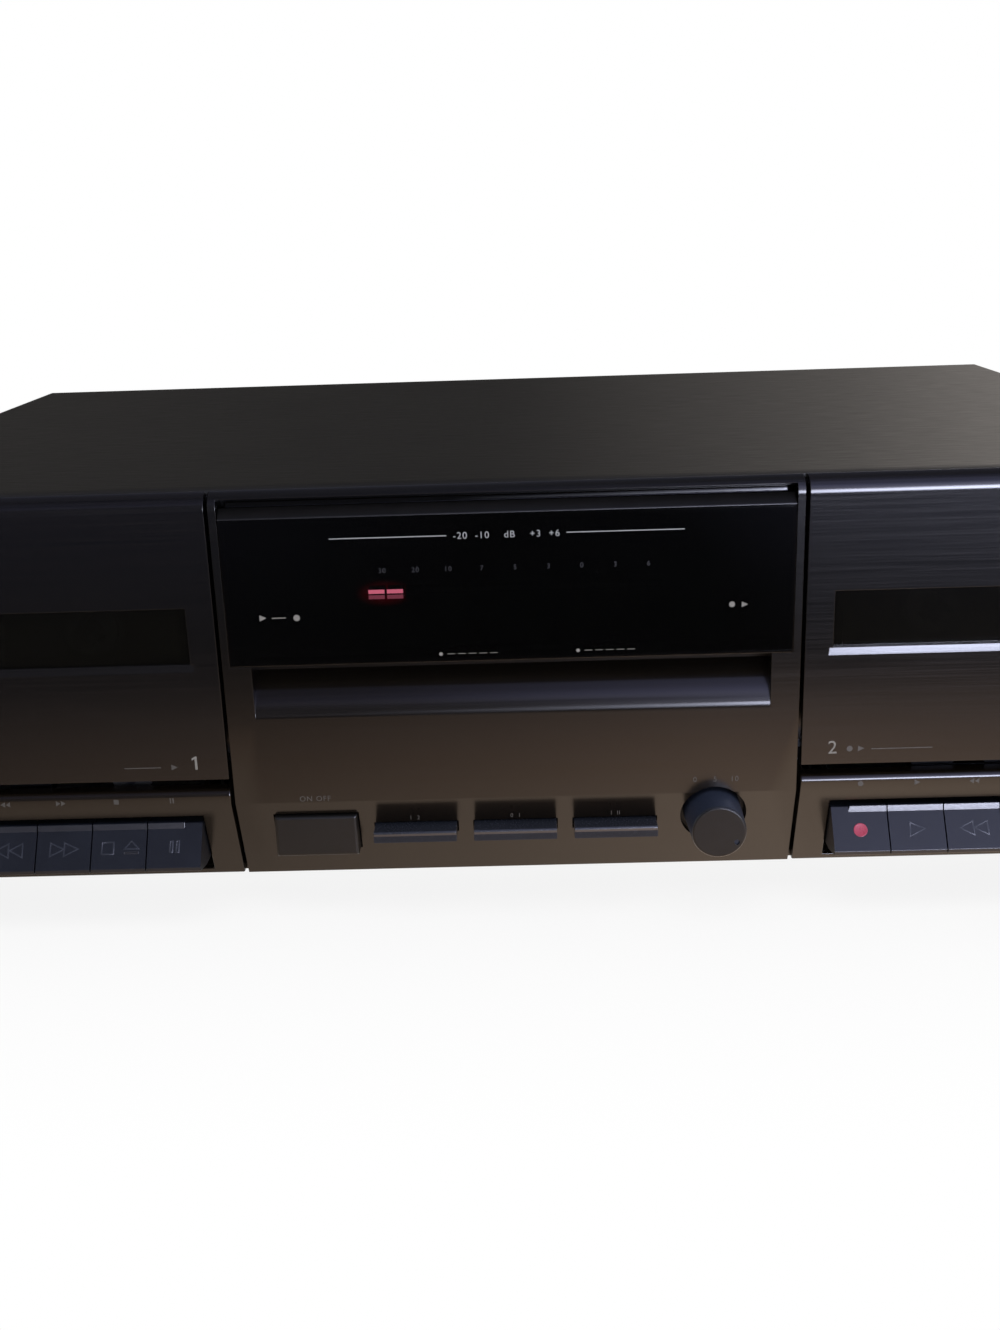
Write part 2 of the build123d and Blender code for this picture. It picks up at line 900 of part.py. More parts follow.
# Tape mechanism of each deck
for side, centre in decks.items():
    capstan_across = centre + capstan_offset
    with BuildPart() as mech_chassis:
        block(
            (centre - plate_half, centre + plate_half),
            (mech_depth, plate_back),
            (plate_low, plate_high),
        )
        for hand in (-1, 1):
            with BuildSketch(side_plane(centre + hand * cheek_half - plate_thickness / 2)):
                with Locations(((mech_depth + bracket_depth) / 2, (cheek_low + cheek_high) / 2)):
                    Rectangle(bracket_depth - mech_depth, cheek_high - cheek_low)
                with Locations(((hinge_depth + plate_back) / 2, hinge_height)):
                    Rectangle(plate_back - hinge_depth, 2 * hinge_ear_radius)
                with Locations((hinge_depth, hinge_height)):
                    Circle(hinge_ear_radius)
                    Circle(hinge_pin_radius + running_gap, mode=Mode.SUBTRACT)
                with Locations((key_rod_depth, key_rod_height)):
                    Circle(key_rod_radius + running_gap, mode=Mode.SUBTRACT)
            extrude(amount=plate_thickness)
            for height in mech_screw_heights:
                lengthwise_bar(
                    centre + hand * mech_screw_offset,
                    height,
                    (mech_depth - 1, plate_back + 1),
                    screw_radius + screw_gap,
                    mode=Mode.SUBTRACT,
                )
            lengthwise_bar(
                centre + hand * spindle_pitch / 2,
                spindle_height,
                (mech_depth - 1, plate_back + 1),
                spindle_shaft_radius + running_gap,
                mode=Mode.SUBTRACT,
            )
        lengthwise_bar(
            capstan_across,
            capstan_height,
            (mech_depth, plate_back + capstan_collar_length),
            capstan_collar_radius,
        )
        lengthwise_bar(
            capstan_across,
            capstan_height,
            (mech_depth - 1, plate_back + capstan_collar_length + 1),
            capstan_radius + running_gap,
            mode=Mode.SUBTRACT,
        )
    save(mech_chassis, f"mech_chassis_{side}")

    for hand, place in ((-1, "left"), (1, "right")):
        across = centre + hand * spindle_pitch / 2
        flange_back = spindle_flange_depth + spindle_flange_thickness
        rear_front = plate_back + moving_gap
        with BuildPart() as reel_spindle:
            lengthwise_bar(
                across,
                spindle_height,
                (spindle_flange_depth, flange_back),
                spindle_flange_radius,
            )
            lengthwise_bar(
                across,
                spindle_height,
                (spindle_tip_depth, spindle_flange_depth),
                spindle_hub_radius,
            )
            tip = reel_spindle.edges().filter_by(GeomType.CIRCLE).sort_by(Axis.Y)[0]
            chamfer(tip, spindle_hub_radius / 2)
            with BuildSketch(face_plane(spindle_flange_depth)):
                with Locations((across, spindle_height)):
                    with PolarLocations(spindle_hub_radius, 3, start_angle=90):
                        Rectangle(2 * spindle_fin, spindle_fin)
            extrude(amount=spindle_flange_depth - spindle_tip_depth - spindle_hub_radius)
            lengthwise_bar(
                across,
                spindle_height,
                (flange_back, rear_front + spindle_flange_thickness),
                spindle_shaft_radius,
            )
            lengthwise_bar(
                across,
                spindle_height,
                (rear_front, rear_front + spindle_flange_thickness),
                spindle_rear_radius,
            )
        save(reel_spindle, f"reel_spindle_{side}_{place}")

    with BuildPart() as flywheel:
        lengthwise_bar(
            capstan_across,
            capstan_height,
            (flywheel_depth, flywheel_depth + flywheel_thickness),
            flywheel_radius,
        )
        lengthwise_bar(
            capstan_across,
            capstan_height,
            (capstan_tip_depth, bracket_depth - moving_gap),
            capstan_radius,
        )
    save(flywheel, f"flywheel_{side}")

    pulley_across = centre + motor_offset
    pulley_back = flywheel_depth + flywheel_thickness
    with BuildPart() as motor_pulley:
        lengthwise_bar(pulley_across, motor_height, (flywheel_depth, pulley_back), pulley_radius)
        shaft_end = bracket_depth + plate_thickness + motor_length / 2
        lengthwise_bar(
            pulley_across,
            motor_height,
            (pulley_back, shaft_end),
            motor_shaft_radius,
        )
    save(motor_pulley, f"motor_pulley_{side}")

    with BuildPart() as head_bridge:
        block(
            (centre - bridge_half, centre + bridge_half),
            (bridge_front, bridge_back),
            (bridge_low, bridge_high),
        )
        notch_half = capstan_collar_radius + capstan_radius
        block(
            (capstan_across - notch_half, capstan_across + notch_half),
            (bridge_front, bridge_back),
            (roller_height + 2 * axle_cap_radius, bridge_high),
            mode=Mode.SUBTRACT,
        )
        head_left = min(head_offsets[side]) - head_width / 2
        block(
            (centre + head_left, centre + head_width / 2),
            (cassette_mid_depth - head_reach / 2, bridge_back),
            (bridge_low, bridge_low + bridge_shelf),
        )
        lengthwise_bar(
            capstan_across,
            roller_height,
            (roller_front - moving_gap, bridge_back),
            axle_radius,
        )
        cap_front = roller_front - moving_gap - axle_radius
        lengthwise_bar(
            capstan_across,
            roller_height,
            (cap_front, roller_front - moving_gap),
            axle_cap_radius,
        )
    save(head_bridge, f"head_bridge_{side}")

    with BuildPart() as tape_heads:
        for offset in head_offsets[side]:
            with BuildSketch(face_plane(cassette_mid_depth + head_reach / 2)):
                base = bridge_low + bridge_shelf
                with BuildLine():
                    left = centre + offset - head_width / 2
                    right = centre + offset + head_width / 2
                    Polyline((left, head_high - 2), (left, base), (right, base), (right, head_high - 2))
                    ThreePointArc(
                        (right, head_high - 2),
                        (centre + offset, head_high),
                        (left, head_high - 2),
                    )
                make_face()
            extrude(amount=head_reach)
    save(tape_heads, f"tape_heads_{side}")

    with BuildPart() as pinch_roller:
        roller_span = (roller_front, roller_front + roller_width)
        lengthwise_bar(capstan_across, roller_height, roller_span, roller_radius)
        lengthwise_bar(
            capstan_across,
            roller_height,
            roller_span,
            axle_radius + running_gap,
            mode=Mode.SUBTRACT,
        )
    save(pinch_roller, f"pinch_roller_{side}")

# Rear brackets that carry the motors and stop the capstans' ends
boss_radius = 3 * motor_shaft_radius
with BuildPart() as motor_brackets:
    for centre in decks.values():
        reach = cheek_half + plate_thickness / 2
        block(
            (centre - reach, centre + reach),
            (bracket_depth, bracket_depth + plate_thickness),
            (bracket_low, cheek_high),
        )
        lengthwise_bar(
            centre + motor_offset,
            motor_height,
            (bracket_depth - 1, bracket_depth + plate_thickness + 1),
            boss_radius + fit_gap,
            mode=Mode.SUBTRACT,
        )
save(motor_brackets, "motor_brackets")

with BuildPart() as motors:
    for centre in decks.values():
        motor_front = bracket_depth + plate_thickness
        across = centre + motor_offset
        lengthwise_bar(across, motor_height, (motor_front, motor_front + motor_length), motor_radius)
        lengthwise_bar(across, motor_height, (bracket_depth, motor_front), boss_radius)
        lengthwise_bar(
            across,
            motor_height,
            (bracket_depth - 1, motor_front + motor_length / 2 + moving_gap),
            motor_shaft_radius + running_gap,
            mode=Mode.SUBTRACT,
        )
save(motors, "motors")

with BuildPart() as drive_belts:
    for centre in decks.values():
        belt_back = flywheel_depth + (flywheel_thickness + belt_width) / 2
        for grow, mode in ((belt_gap + belt_thickness, Mode.ADD), (belt_gap, Mode.SUBTRACT)):
            with BuildSketch(face_plane(belt_back)):
                with Locations((centre + capstan_offset, capstan_height)):
                    Circle(flywheel_radius + grow)
                with Locations((centre + motor_offset, motor_height)):
                    Circle(pulley_radius + grow)
                make_hull()
            extrude(amount=belt_width, mode=mode)
save(drive_belts, "drive_belts")

# Screws of the mechanisms, driven from behind into the fascia's flanges
with BuildPart() as mech_screws:
    for centre in decks.values():
        for hand in (-1, 1):
            for height in mech_screw_heights:
                across = centre + hand * mech_screw_offset
                tip_depth = mech_depth - mech_flange_thickness
                lengthwise_bar(across, height, (tip_depth, plate_back), screw_radius)
                head_back = plate_back + screw_head_height
                lengthwise_bar(across, height, (plate_back, head_back), mech_screw_head_radius)
save(mech_screws, "mech_screws")

# Folded steel cover: top and two sides, cut along the slope of the front
with BuildPart() as top_cover:
    cover_front = lip_depth + fit_gap
    with BuildSketch(face_plane(case_depth)):
        with Locations((0, (case_height + sheet) / 2)):
            Rectangle(case_width, case_height - sheet)
    extrude(amount=case_depth - cover_front)
    long_edges = top_cover.edges().filter_by(Axis.Y).group_by(Axis.Z)[-1]
    fillet(long_edges, bend_radius)
    with BuildSketch(face_plane(case_depth)):
        with Locations((0, (case_height - sheet) / 2)):
            Rectangle(case_width - 2 * sheet, case_height - sheet)
    extrude(amount=case_depth, mode=Mode.SUBTRACT)
    with BuildSketch(side_plane(-case_half)):
        with BuildLine():
            Polyline(
                (0, 0),
                (0, lean_height),
                (cover_front, lean_height),
                (cover_front + lean_depth, 0),
                close=True,
            )
        make_face()
    extrude(amount=case_width, mode=Mode.SUBTRACT)
    for depth in cover_screw_depths:
        cross_bar(
            depth,
            cover_screw_height,
            (-case_half, case_half),
            screw_radius + screw_gap,
            mode=Mode.SUBTRACT,
        )
save(top_cover, "top_cover")

# Base pan: floor, side and rear flanges, and posts for the main board
post_places = [
    (across, depth)
    for across in (board_left + 2 * post_radius, 0, board_right - 2 * post_radius)
    for depth in (board_wide_depth + 2 * post_radius, board_rear_depth - 2 * post_radius)
]
post_places += [
    (hand * (board_tongue_half - 2 * post_radius), board_tongue_depth + post_front_inset)
    for hand in (-1, 1)
]
with BuildPart() as base_pan:
    block((-inside_half, inside_half), (mech_depth, rear_panel_depth), (0, sheet))
    for hand in (-1, 1):
        flange = mirrored(inside_half - sheet, inside_half, hand)
        block(flange, (mech_depth, rear_panel_depth), (0, pan_flange))
    block((-inside_half, inside_half), (rear_panel_depth - sheet, rear_panel_depth), (0, pan_flange))
    for across, depth in post_places:
        post(across, depth, (0, board_height), post_radius)
    for depth in cover_screw_depths:
        cross_bar(
            depth,
            cover_screw_height,
            (-case_half, case_half),
            screw_radius + screw_gap,
            mode=Mode.SUBTRACT,
        )
    for across in rear_screw_across:
        lengthwise_bar(
            across,
            cover_screw_height,
            (rear_panel_depth - 2 * sheet, case_depth),
            screw_radius + screw_gap,
            mode=Mode.SUBTRACT,
        )
save(base_pan, "base_pan")

# Rear panel with its openings
inlet_body_half = inlet_socket_width / 2 + inlet_wall
inlet_body_rise = inlet_socket_height / 2 + inlet_wall
with BuildPart() as rear_panel:
    block(
        (-inside_half, inside_half),
        (rear_panel_depth, case_depth),
        (sheet + fit_gap, roof_top),
    )
    block(
        (inlet_across - inlet_body_half - fit_gap, inlet_across + inlet_body_half + fit_gap),
        (rear_panel_depth, case_depth),
        (inlet_height - inlet_body_rise - fit_gap, inlet_height + inlet_body_rise + fit_gap),
        mode=Mode.SUBTRACT,
    )
    for across in jack_columns:
        for height in jack_rows:
            lengthwise_bar(
                across,
                height,
                (rear_panel_depth - 1, case_depth + 1),
                jack_collar_radius + fit_gap,
                mode=Mode.SUBTRACT,
            )
    for across in rear_screw_across:
        lengthwise_bar(
            across,
            cover_screw_height,
            (rear_panel_depth - 1, case_depth + 1),
            screw_radius + screw_gap,
            mode=Mode.SUBTRACT,
        )
    with BuildSketch(face_plane(case_depth)):
        with Locations((transformer_across, case_height * 2 / 3)):
            with GridLocations(vent_pitch, vent_height, vent_count, 1):
                SlotOverall(vent_height, vent_width, rotation=90)
    extrude(amount=sheet, mode=Mode.SUBTRACT)
save(rear_panel, "rear_panel")

with BuildPart() as cover_screws:
    for hand in (-1, 1):
        for depth in cover_screw_depths:
            shank = mirrored(case_half - screw_length, case_half, hand)
            cross_bar(depth, cover_screw_height, shank, screw_radius)
            head = mirrored(case_half, case_half + screw_head_height, hand)
            cross_bar(depth, cover_screw_height, head, screw_head_radius)
    for across in rear_screw_across:
        lengthwise_bar(across, cover_screw_height, (case_depth - screw_length, case_depth), screw_radius)
        lengthwise_bar(
            across,
            cover_screw_height,
            (case_depth, case_depth + screw_head_height),
            screw_head_radius,
        )
    heads = cover_screws.edges().filter_by(GeomType.CIRCLE)
    side_rims = heads.group_by(Axis.X)
    fillet(side_rims[0] + side_rims[-1], screw_head_height / 3)
save(cover_screws, "cover_screws")

with BuildPart() as feet:
    places = [
        (hand * (case_half - foot_inset_side), depth)
        for hand in (-1, 1)
        for depth in (foot_inset_front, case_depth - foot_inset_rear)
    ]
    for across, depth in places:
        post(across, depth, (-foot_height, 0), foot_radius)
    chamfer(feet.edges().group_by(Axis.Z)[0], sheet)
save(feet, "feet")

# Electronics on the floor
with BuildPart() as main_board:
    block(
        (-board_tongue_half, board_tongue_half),
        (board_tongue_depth, board_wide_depth),
        (board_height, board_top),
    )
    block(
        (board_left, board_right),
        (board_wide_depth, board_rear_depth),
        (board_height, board_top),
    )
save(main_board, "main_board")

with BuildPart() as transformer:
    half = transformer_width / 2
    stack = transformer_length / 2
    block(
        (transformer_across - half, transformer_across + half),
        (transformer_depth - stack / 2, transformer_depth + stack / 2),
        (sheet, sheet + transformer_height),
    )
    with BuildSketch(plan_plane(sheet + transformer_height / 4)):
        with Locations((transformer_across, transformer_depth)):
            RectangleRounded(
                transformer_width * 2 / 3,
                stack + 2 * winding_overhang,
                winding_overhang / 2,
            )
    extrude(amount=transformer_height / 2)
save(transformer, "transformer")

with BuildPart() as mains_inlet:
    flange_back = case_depth + inlet_wall / 2
    socket_floor = flange_back - inlet_socket_depth
    block(
        (inlet_across - inlet_body_half, inlet_across + inlet_body_half),
        (socket_floor - inlet_wall, flange_back),
        (inlet_height - inlet_body_rise, inlet_height + inlet_body_rise),
    )
    block(
        (inlet_across - inlet_body_half - inlet_wall, inlet_across + inlet_body_half + inlet_wall),
        (case_depth, flange_back),
        (inlet_height - inlet_body_rise - inlet_wall / 2, inlet_height + inlet_body_rise + inlet_wall / 2),
    )
    with BuildSketch(face_plane(flange_back)):
        with Locations((inlet_across, inlet_height)):
            RectangleRounded(inlet_socket_width, inlet_socket_height, inlet_socket_height / 3)
    extrude(amount=inlet_socket_depth, mode=Mode.SUBTRACT)
    for hand in (-1, 1):
        lengthwise_bar(
            inlet_across + hand * inlet_pin_spacing / 2,
            inlet_height,
            (socket_floor - 1, flange_back - inlet_pin_radius),
            inlet_pin_radius,
        )
save(mains_inlet, "mains_inlet")

with BuildPart() as rca_jacks:
    jack_block_half = 2 * jack_radius
    block(
        (jack_columns[0] - jack_block_half, jack_columns[-1] + jack_block_half),
        (board_rear_depth - jack_block_half, rear_panel_depth - sheet - fit_gap),
        (board_top, jack_rows[-1] + jack_block_half),
    )
    for across in jack_columns:
        for height in jack_rows:
            jack_end = case_depth + jack_length
            lengthwise_bar(across, height, (board_rear_depth, case_depth), jack_collar_radius)
            lengthwise_bar(across, height, (board_rear_depth, jack_end), jack_radius)
            lengthwise_bar(
                across,
                height,
                (jack_end - jack_length, jack_end + 1),
                jack_bore_radius,
                mode=Mode.SUBTRACT,
            )
save(rca_jacks, "rca_jacks")
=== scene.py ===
"""Looks of the double cassette deck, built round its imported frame.

Sizes are in millimetres, and MM turns them into metres. Every mesh is made in the frame's own
coordinates: X to the right, Y from front to rear, Z up from the surface that the feet stand on.
"""

from __future__ import annotations

import json
import logging
import math
from collections.abc import Callable, Sequence
from dataclasses import dataclass, field
from enum import Enum

import bmesh
import bpy
from mathutils import Matrix, Vector

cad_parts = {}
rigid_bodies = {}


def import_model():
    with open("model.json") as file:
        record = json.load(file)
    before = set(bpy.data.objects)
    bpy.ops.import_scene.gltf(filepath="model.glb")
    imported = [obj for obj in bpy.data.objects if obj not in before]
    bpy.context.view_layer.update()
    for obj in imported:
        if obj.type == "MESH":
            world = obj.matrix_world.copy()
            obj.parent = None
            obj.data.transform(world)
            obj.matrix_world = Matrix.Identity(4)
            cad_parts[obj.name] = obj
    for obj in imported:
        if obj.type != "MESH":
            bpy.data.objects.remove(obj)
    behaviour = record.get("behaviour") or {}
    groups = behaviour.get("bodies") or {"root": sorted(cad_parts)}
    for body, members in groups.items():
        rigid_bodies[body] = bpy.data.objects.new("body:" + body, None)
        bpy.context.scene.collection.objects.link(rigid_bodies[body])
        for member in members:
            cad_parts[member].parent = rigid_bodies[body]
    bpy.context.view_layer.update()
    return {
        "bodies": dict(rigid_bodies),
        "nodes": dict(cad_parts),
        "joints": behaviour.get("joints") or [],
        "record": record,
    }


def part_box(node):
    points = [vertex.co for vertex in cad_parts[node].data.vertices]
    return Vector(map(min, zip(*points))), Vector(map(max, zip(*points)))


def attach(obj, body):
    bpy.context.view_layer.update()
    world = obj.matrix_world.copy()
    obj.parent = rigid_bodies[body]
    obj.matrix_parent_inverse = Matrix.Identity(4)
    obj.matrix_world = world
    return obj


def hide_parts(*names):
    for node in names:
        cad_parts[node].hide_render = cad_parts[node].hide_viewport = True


LOG = logging.getLogger("cassette_deck")
MM = 0.001
# Corners that are closer than this are one
WELD = 0.002 * MM

RIGHT = Vector((1, 0, 0))
UP = Vector((0, 0, 1))

Node = bpy.types.Node
Socket = bpy.types.NodeSocket
Tree = bpy.types.NodeTree
Piece = bpy.types.Object
Shape = bmesh.types.BMesh
Corner = bmesh.types.BMVert
Test = Callable[[Vector], bool]
Point = tuple[float, float]
Outline = Sequence[Point]
Drawn = Sequence[tuple[Outline, Point]]
Triple = tuple[float, float, float]
Stops = tuple[tuple[float, str], ...]


def linear(hex_colour: str) -> tuple[float, float, float, float]:
    """Turn an sRGB hex colour into linear red, green, blue and alpha.

    Args:
        hex_colour: The colour as "#rrggbb".

    Returns:
        Four numbers from 0 to 1, alpha last.
    """
    shares = [int(hex_colour[start : start + 2], 16) / 255 for start in (1, 3, 5)]
    return (*(s / 12.92 if s <= 0.04045 else ((s + 0.055) / 1.055) ** 2.4 for s in shares), 1.0)


def add_node(tree: Tree, kind: str, settings: dict[str | int, object] | None = None) -> Node:
    """Add a node with its settings and links.

    Args:
        tree: The node tree to add it to.
        kind: The node's type, without its "ShaderNode".
        settings: What goes to its properties and inputs, by name or input number: a value, a hex
            colour, or a socket or a node (by its first live output) to link. The name "stops"
            sets a colour ramp's (place, hex colour) pairs.

    Returns:
        The new node.
    """
    node = tree.nodes.new("ShaderNode" + kind)
    for name, value in (settings or {}).items():
        if isinstance(value, Node):
            value = next(output for output in value.outputs if output.enabled)
        if name == "stops":
            marks = node.color_ramp.elements
            while len(marks) < len(value):
                marks.new(1.0)
            for mark, (place, colour) in zip(marks, value):
                mark.position, mark.color = place, linear(colour)
        elif isinstance(value, Socket):
            tree.links.new(value, node.inputs[name])
        elif isinstance(name, int) or name in node.inputs:
            node.inputs[name].default_value = linear(value) if isinstance(value, str) else value
        else:
            setattr(node, name, value)
    return node


def new_tree(owner: bpy.types.Material | bpy.types.World) -> Tree:
    """Give a material or world an empty node tree."""
    owner.use_nodes = True
    owner.node_tree.nodes.clear()
    return owner.node_tree


def hang(name: str, data: bpy.types.ID) -> Piece:
    """Make an object of some data, in the scene."""
    made = bpy.data.objects.new(name, data)
    bpy.context.scene.collection.objects.link(made)
    return made


def sheet(name: str, corners: Sequence[Sequence[float]], material: bpy.types.Material) -> Piece:
    """Lay a flat sheet.

    Args:
        name: Its name.
        corners: Its four corners, in metres.
        material: Its material.

    Returns:
        The sheet.
    """
    mesh = bpy.data.meshes.new(name)
    mesh.from_pydata(corners, [], [(0, 1, 2, 3)])
    mesh.materials.append(material)
    return hang(name, mesh)


@dataclass(frozen=True)
class Grain:
    """Tiny relief in a surface: how long one grain is each way, how deep, and how jagged."""

    size: Triple
    depth: float = 0.0
    detail: float = 2.0

    def pattern(self, tree: Tree, place: Socket) -> Node:
        """Give the grain's height from 0 to 1 at each place.

        Args:
            tree: The material's node tree.
            place: Object coordinates, in metres.

        Returns:
            The node that carries the height.
        """
        scale = tuple(1 / (length * MM) for length in self.size)
        stretched = add_node(tree, "Mapping", {"Scale": scale, "Vector": place})
        jagged = {"Scale": 1.0, "Detail": self.detail, "Roughness": 0.6}
        return add_node(tree, "TexNoise", {**jagged, "Vector": stretched})


@dataclass(frozen=True)
class Finish:
    """A real material with its surface: base colour, blotches, gloss and grain.

    blotch is the second colour that shows through by blotch_share in soft patches of
    blotch_size, gloss_spread is how far the roughness wanders to each side, and edge_wear_and_highlight is
    the colour laid along the edges, edge_width wide: the wear of handling on some finishes, a painted
    highlight on others.
    """

    name: str
    colour: str
    blotch: str
    roughness: float
    grain: Grain
    blotch_size: float = 12.0
    blotch_share: float = 0.5
    gloss_spread: float = 0.06
    metallic: float = 0.0
    specular: float = 0.5
    edge_wear_and_highlight: str = ""
    edge_width: float = 0.35

    def material(self) -> bpy.types.Material:
        """Give this finish's material, made once."""
        made = bpy.data.materials.get(self.name)
        if made:
            return made
        made = bpy.data.materials.new(self.name)
        tree = new_tree(made)
        place = add_node(tree, "TexCoord").outputs["Object"]
        height = self.grain.pattern(tree, place)
        low, high = max(self.roughness - self.gloss_spread, 0.01), self.roughness + self.gloss_spread
        span = {"From Min": 0.3, "From Max": 0.7, "To Min": low, "To Max": high}
        colour = self.colour_of(tree, place, height)
        if self.edge_wear_and_highlight:
            colour = self.worn_and_highlit_edges(tree, colour, height)
        settings = {
            "Metallic": self.metallic,
            "Specular IOR Level": self.specular,
            "Base Color": colour,
            "Roughness": add_node(tree, "MapRange", {**span, "Value": height}),
            "Normal": add_node(tree, "Bump", {"Distance": self.grain.depth * MM, "Height": height}),
        }
        shader = add_node(tree, "BsdfPrincipled", settings | self.extras(tree, place, colour))
        add_node(tree, "OutputMaterial", {"Surface": shader})
        return made

    def colour_of(self, tree: Tree, place: Socket, height: Node) -> Node:
        """Give the surface's colour before wear.

        Args:
            tree: The material's node tree.
            place: Object coordinates.
            height: The grain's height.

        Returns:
            The node that carries the colour.
        """
        patches = Grain((self.blotch_size,) * 3).pattern(tree, place)
        span = {"From Min": 0.35, "From Max": 0.7, "To Max": self.blotch_share}
        share = add_node(tree, "MapRange", {**span, "Value": patches})
        return add_node(tree, "Mix", {"data_type": "RGBA", 0: share, 6: self.colour, 7: self.blotch})

    def worn_and_highlit_edges(self, tree: Tree, colour: Node, height: Node) -> Node:
        """Lighten the colour along the piece's edges: the wear of handling on some finishes, a painted
        highlight on others.

        Args:
            tree: The material's node tree.
            colour: The colour before its edges are lightened.
            height: The grain's height, which breaks the lightening up.

        Returns:
            The node that carries the worn colour.
        """
        flat = add_node(tree, "NewGeometry").outputs["Normal"]
        rounded = add_node(tree, "Bevel", {"samples": 4, "Radius": self.edge_width * MM})
        turned = add_node(tree, "VectorMath", {"operation": "DOT_PRODUCT", 0: flat, 1: rounded})
        edge = add_node(tree, "MapRange", {"From Min": 0.995, "From Max": 0.88, "Value": turned})
        patchy = add_node(tree, "Math", {"operation": "MULTIPLY", 0: edge, 1: height})
        return add_node(tree, "Mix", {"data_type": "RGBA", 0: patchy, 6: colour, 7: self.edge_wear_and_highlight})

    def extras(self, tree: Tree, place: Socket, colour: Node) -> dict[str, object]:
        """Give what only some finishes set on the shader, such as a glow. Here that is nothing."""
        return {}


@dataclass(frozen=True)
class Ink(Finish):
    """A thin printed film, blotched finely where it lies thicker or thinner."""

    blotch_size: float = 1.5
    specular: float = 0.3


@dataclass(frozen=True)
class HairlinedFront(Finish):
    """ABS painted anthracite over fine level hairlines, browner towards its foot and cooler towards its top:
    a painted reflection of the warm tabletop below and the bluish room above.

    stops are the colours of that painted reflection from the foot to the top of the front, by share of its
    height.
    """

    stops: Stops = ()
    foot: float = 10.0
    top: float = 132.0

    def colour_of(self, tree: Tree, place: Socket, height: Node) -> Node:
        """Give the colour by height, a painted reflection of the tabletop and the room, streaked by the
        hairlines.

        Args:
            tree: The material's node tree.
            place: Object coordinates.
            height: The hairlines' height.

        Returns:
            The node that carries the colour.
        """
        level = add_node(tree, "SeparateXYZ", {"Vector": place}).outputs["Z"]
        rise = {"From Min": self.foot * MM, "From Max": self.top * MM}
        share = add_node(tree, "MapRange", {**rise, "Value": level})
        # The colour by height is a painted reflection of the tabletop and the room
        shade = add_node(tree, "ValToRGB", {"stops": self.stops, "Fac": share})
        span = {"From Min": 0.35, "From Max": 0.75, "To Max": self.blotch_share}
        streak = add_node(tree, "MapRange", {**span, "Value": height})
        return add_node(tree, "Mix", {"data_type": "RGBA", 0: streak, 6: shade, 7: self.blotch})


@dataclass(frozen=True)
class TintedAcrylic(Finish):
    """Cast acrylic, polished, dark tinted, with a few specks of dust on its face."""

    cover: float = 0.8
    dust: float = 0.35
    dust_colour: str = "#8f9296"
    dust_gap: float = 4.5
    index: float = 1.49

    def extras(self, tree: Tree, place: Socket, colour: Node) -> dict[str, object]:
        """Let a share of the light through, and scatter dust on the face.

        Args:
            tree: The material's node tree.
            place: Object coordinates.
            colour: The clean colour.

        Returns:
            The shader's further settings.
        """
        cells = add_node(tree, "TexVoronoi", {"Scale": 1 / (self.dust_gap * MM), "Vector": place})
        span = {"From Min": 0.035, "From Max": 0.02, "To Max": self.dust}
        speck = add_node(tree, "MapRange", {**span, "Value": cells})
        dusty = add_node(tree, "Mix", {"data_type": "RGBA", 0: speck, 6: colour, 7: self.dust_colour})
        return {"Base Color": dusty, "Alpha": self.cover, "IOR": self.index}


@dataclass(frozen=True)
class MeterLight(Finish):
    """Red diffused LED bars: those left of the lit end glow, the rest stay dim."""

    lit_end: float = -30.3
    row_split: float = 100.5
    glow: float = 12.5
    low_share: float = 0.3
    light: str = "#ff7f9c"

    def extras(self, tree: Tree, place: Socket, colour: Node) -> dict[str, object]:
        """Make the faces of the bars left of the lit end glow, the lower row less.

        Args:
            tree: The material's node tree.
            place: Object coordinates.
            colour: The bars' own colour.

        Returns:
            The shader's further settings.
        """
        parts = add_node(tree, "SeparateXYZ", {"Vector": place}).outputs
        normal = add_node(tree, "SeparateXYZ", {"Vector": add_node(tree, "TexCoord").outputs["Normal"]})
        facing = add_node(tree, "Math", {"operation": "LESS_THAN", 0: normal.outputs["Y"], 1: -0.7})
        lit = add_node(tree, "Math", {"operation": "LESS_THAN", 0: parts["X"], 1: self.lit_end * MM})
        rows = {"From Min": (self.row_split - 0.1) * MM, "From Max": (self.row_split + 0.1) * MM}
        glows = {"To Min": self.glow * self.low_share, "To Max": self.glow}
        power = add_node(tree, "MapRange", {**rows, **glows, "Value": parts["Z"]})
        for gate in (lit, facing):
            power = add_node(tree, "Math", {"operation": "MULTIPLY", 0: power, 1: gate})
        return {"Emission Color": self.light, "Emission Strength": power}


@dataclass(frozen=True)
class BoardWithPaintedGlow(Finish):
    """A dark board with a painted red glow round the lit bars: its own emission stands for their light
    falling on it.
    """

    painted_glow_middle: Triple = (-36.5, 0.0, 99.5)
    painted_glow_reach: tuple[float, float] = (9.5, 4.5)
    glow: float = 0.5
    light: str = "#ff1236"

    def extras(self, tree: Tree, place: Socket, colour: Node) -> dict[str, object]:
        """Add the painted glow, fading away from the lit bars.

        Args:
            tree: The material's node tree.
            place: Object coordinates.
            colour: The board's own colour.

        Returns:
            The shader's further settings.
        """
        middle = tuple(side * MM for side in self.painted_glow_middle)
        across, up = (1 / (reach * MM) for reach in self.painted_glow_reach)
        away = add_node(tree, "VectorMath", {"operation": "SUBTRACT", 0: place, 1: middle})
        away = add_node(tree, "VectorMath", {"operation": "MULTIPLY", 0: away, 1: (across, 0.0, up)})
        away = add_node(tree, "VectorMath", {"operation": "LENGTH", 0: away})
        span = {"interpolation_type": "SMOOTHSTEP", "From Min": 1.0, "From Max": 0.2, "To Max": self.glow}
        return {
            "Emission Color": self.light,
            "Emission Strength": add_node(tree, "MapRange", {**span, "Value": away}),
        }


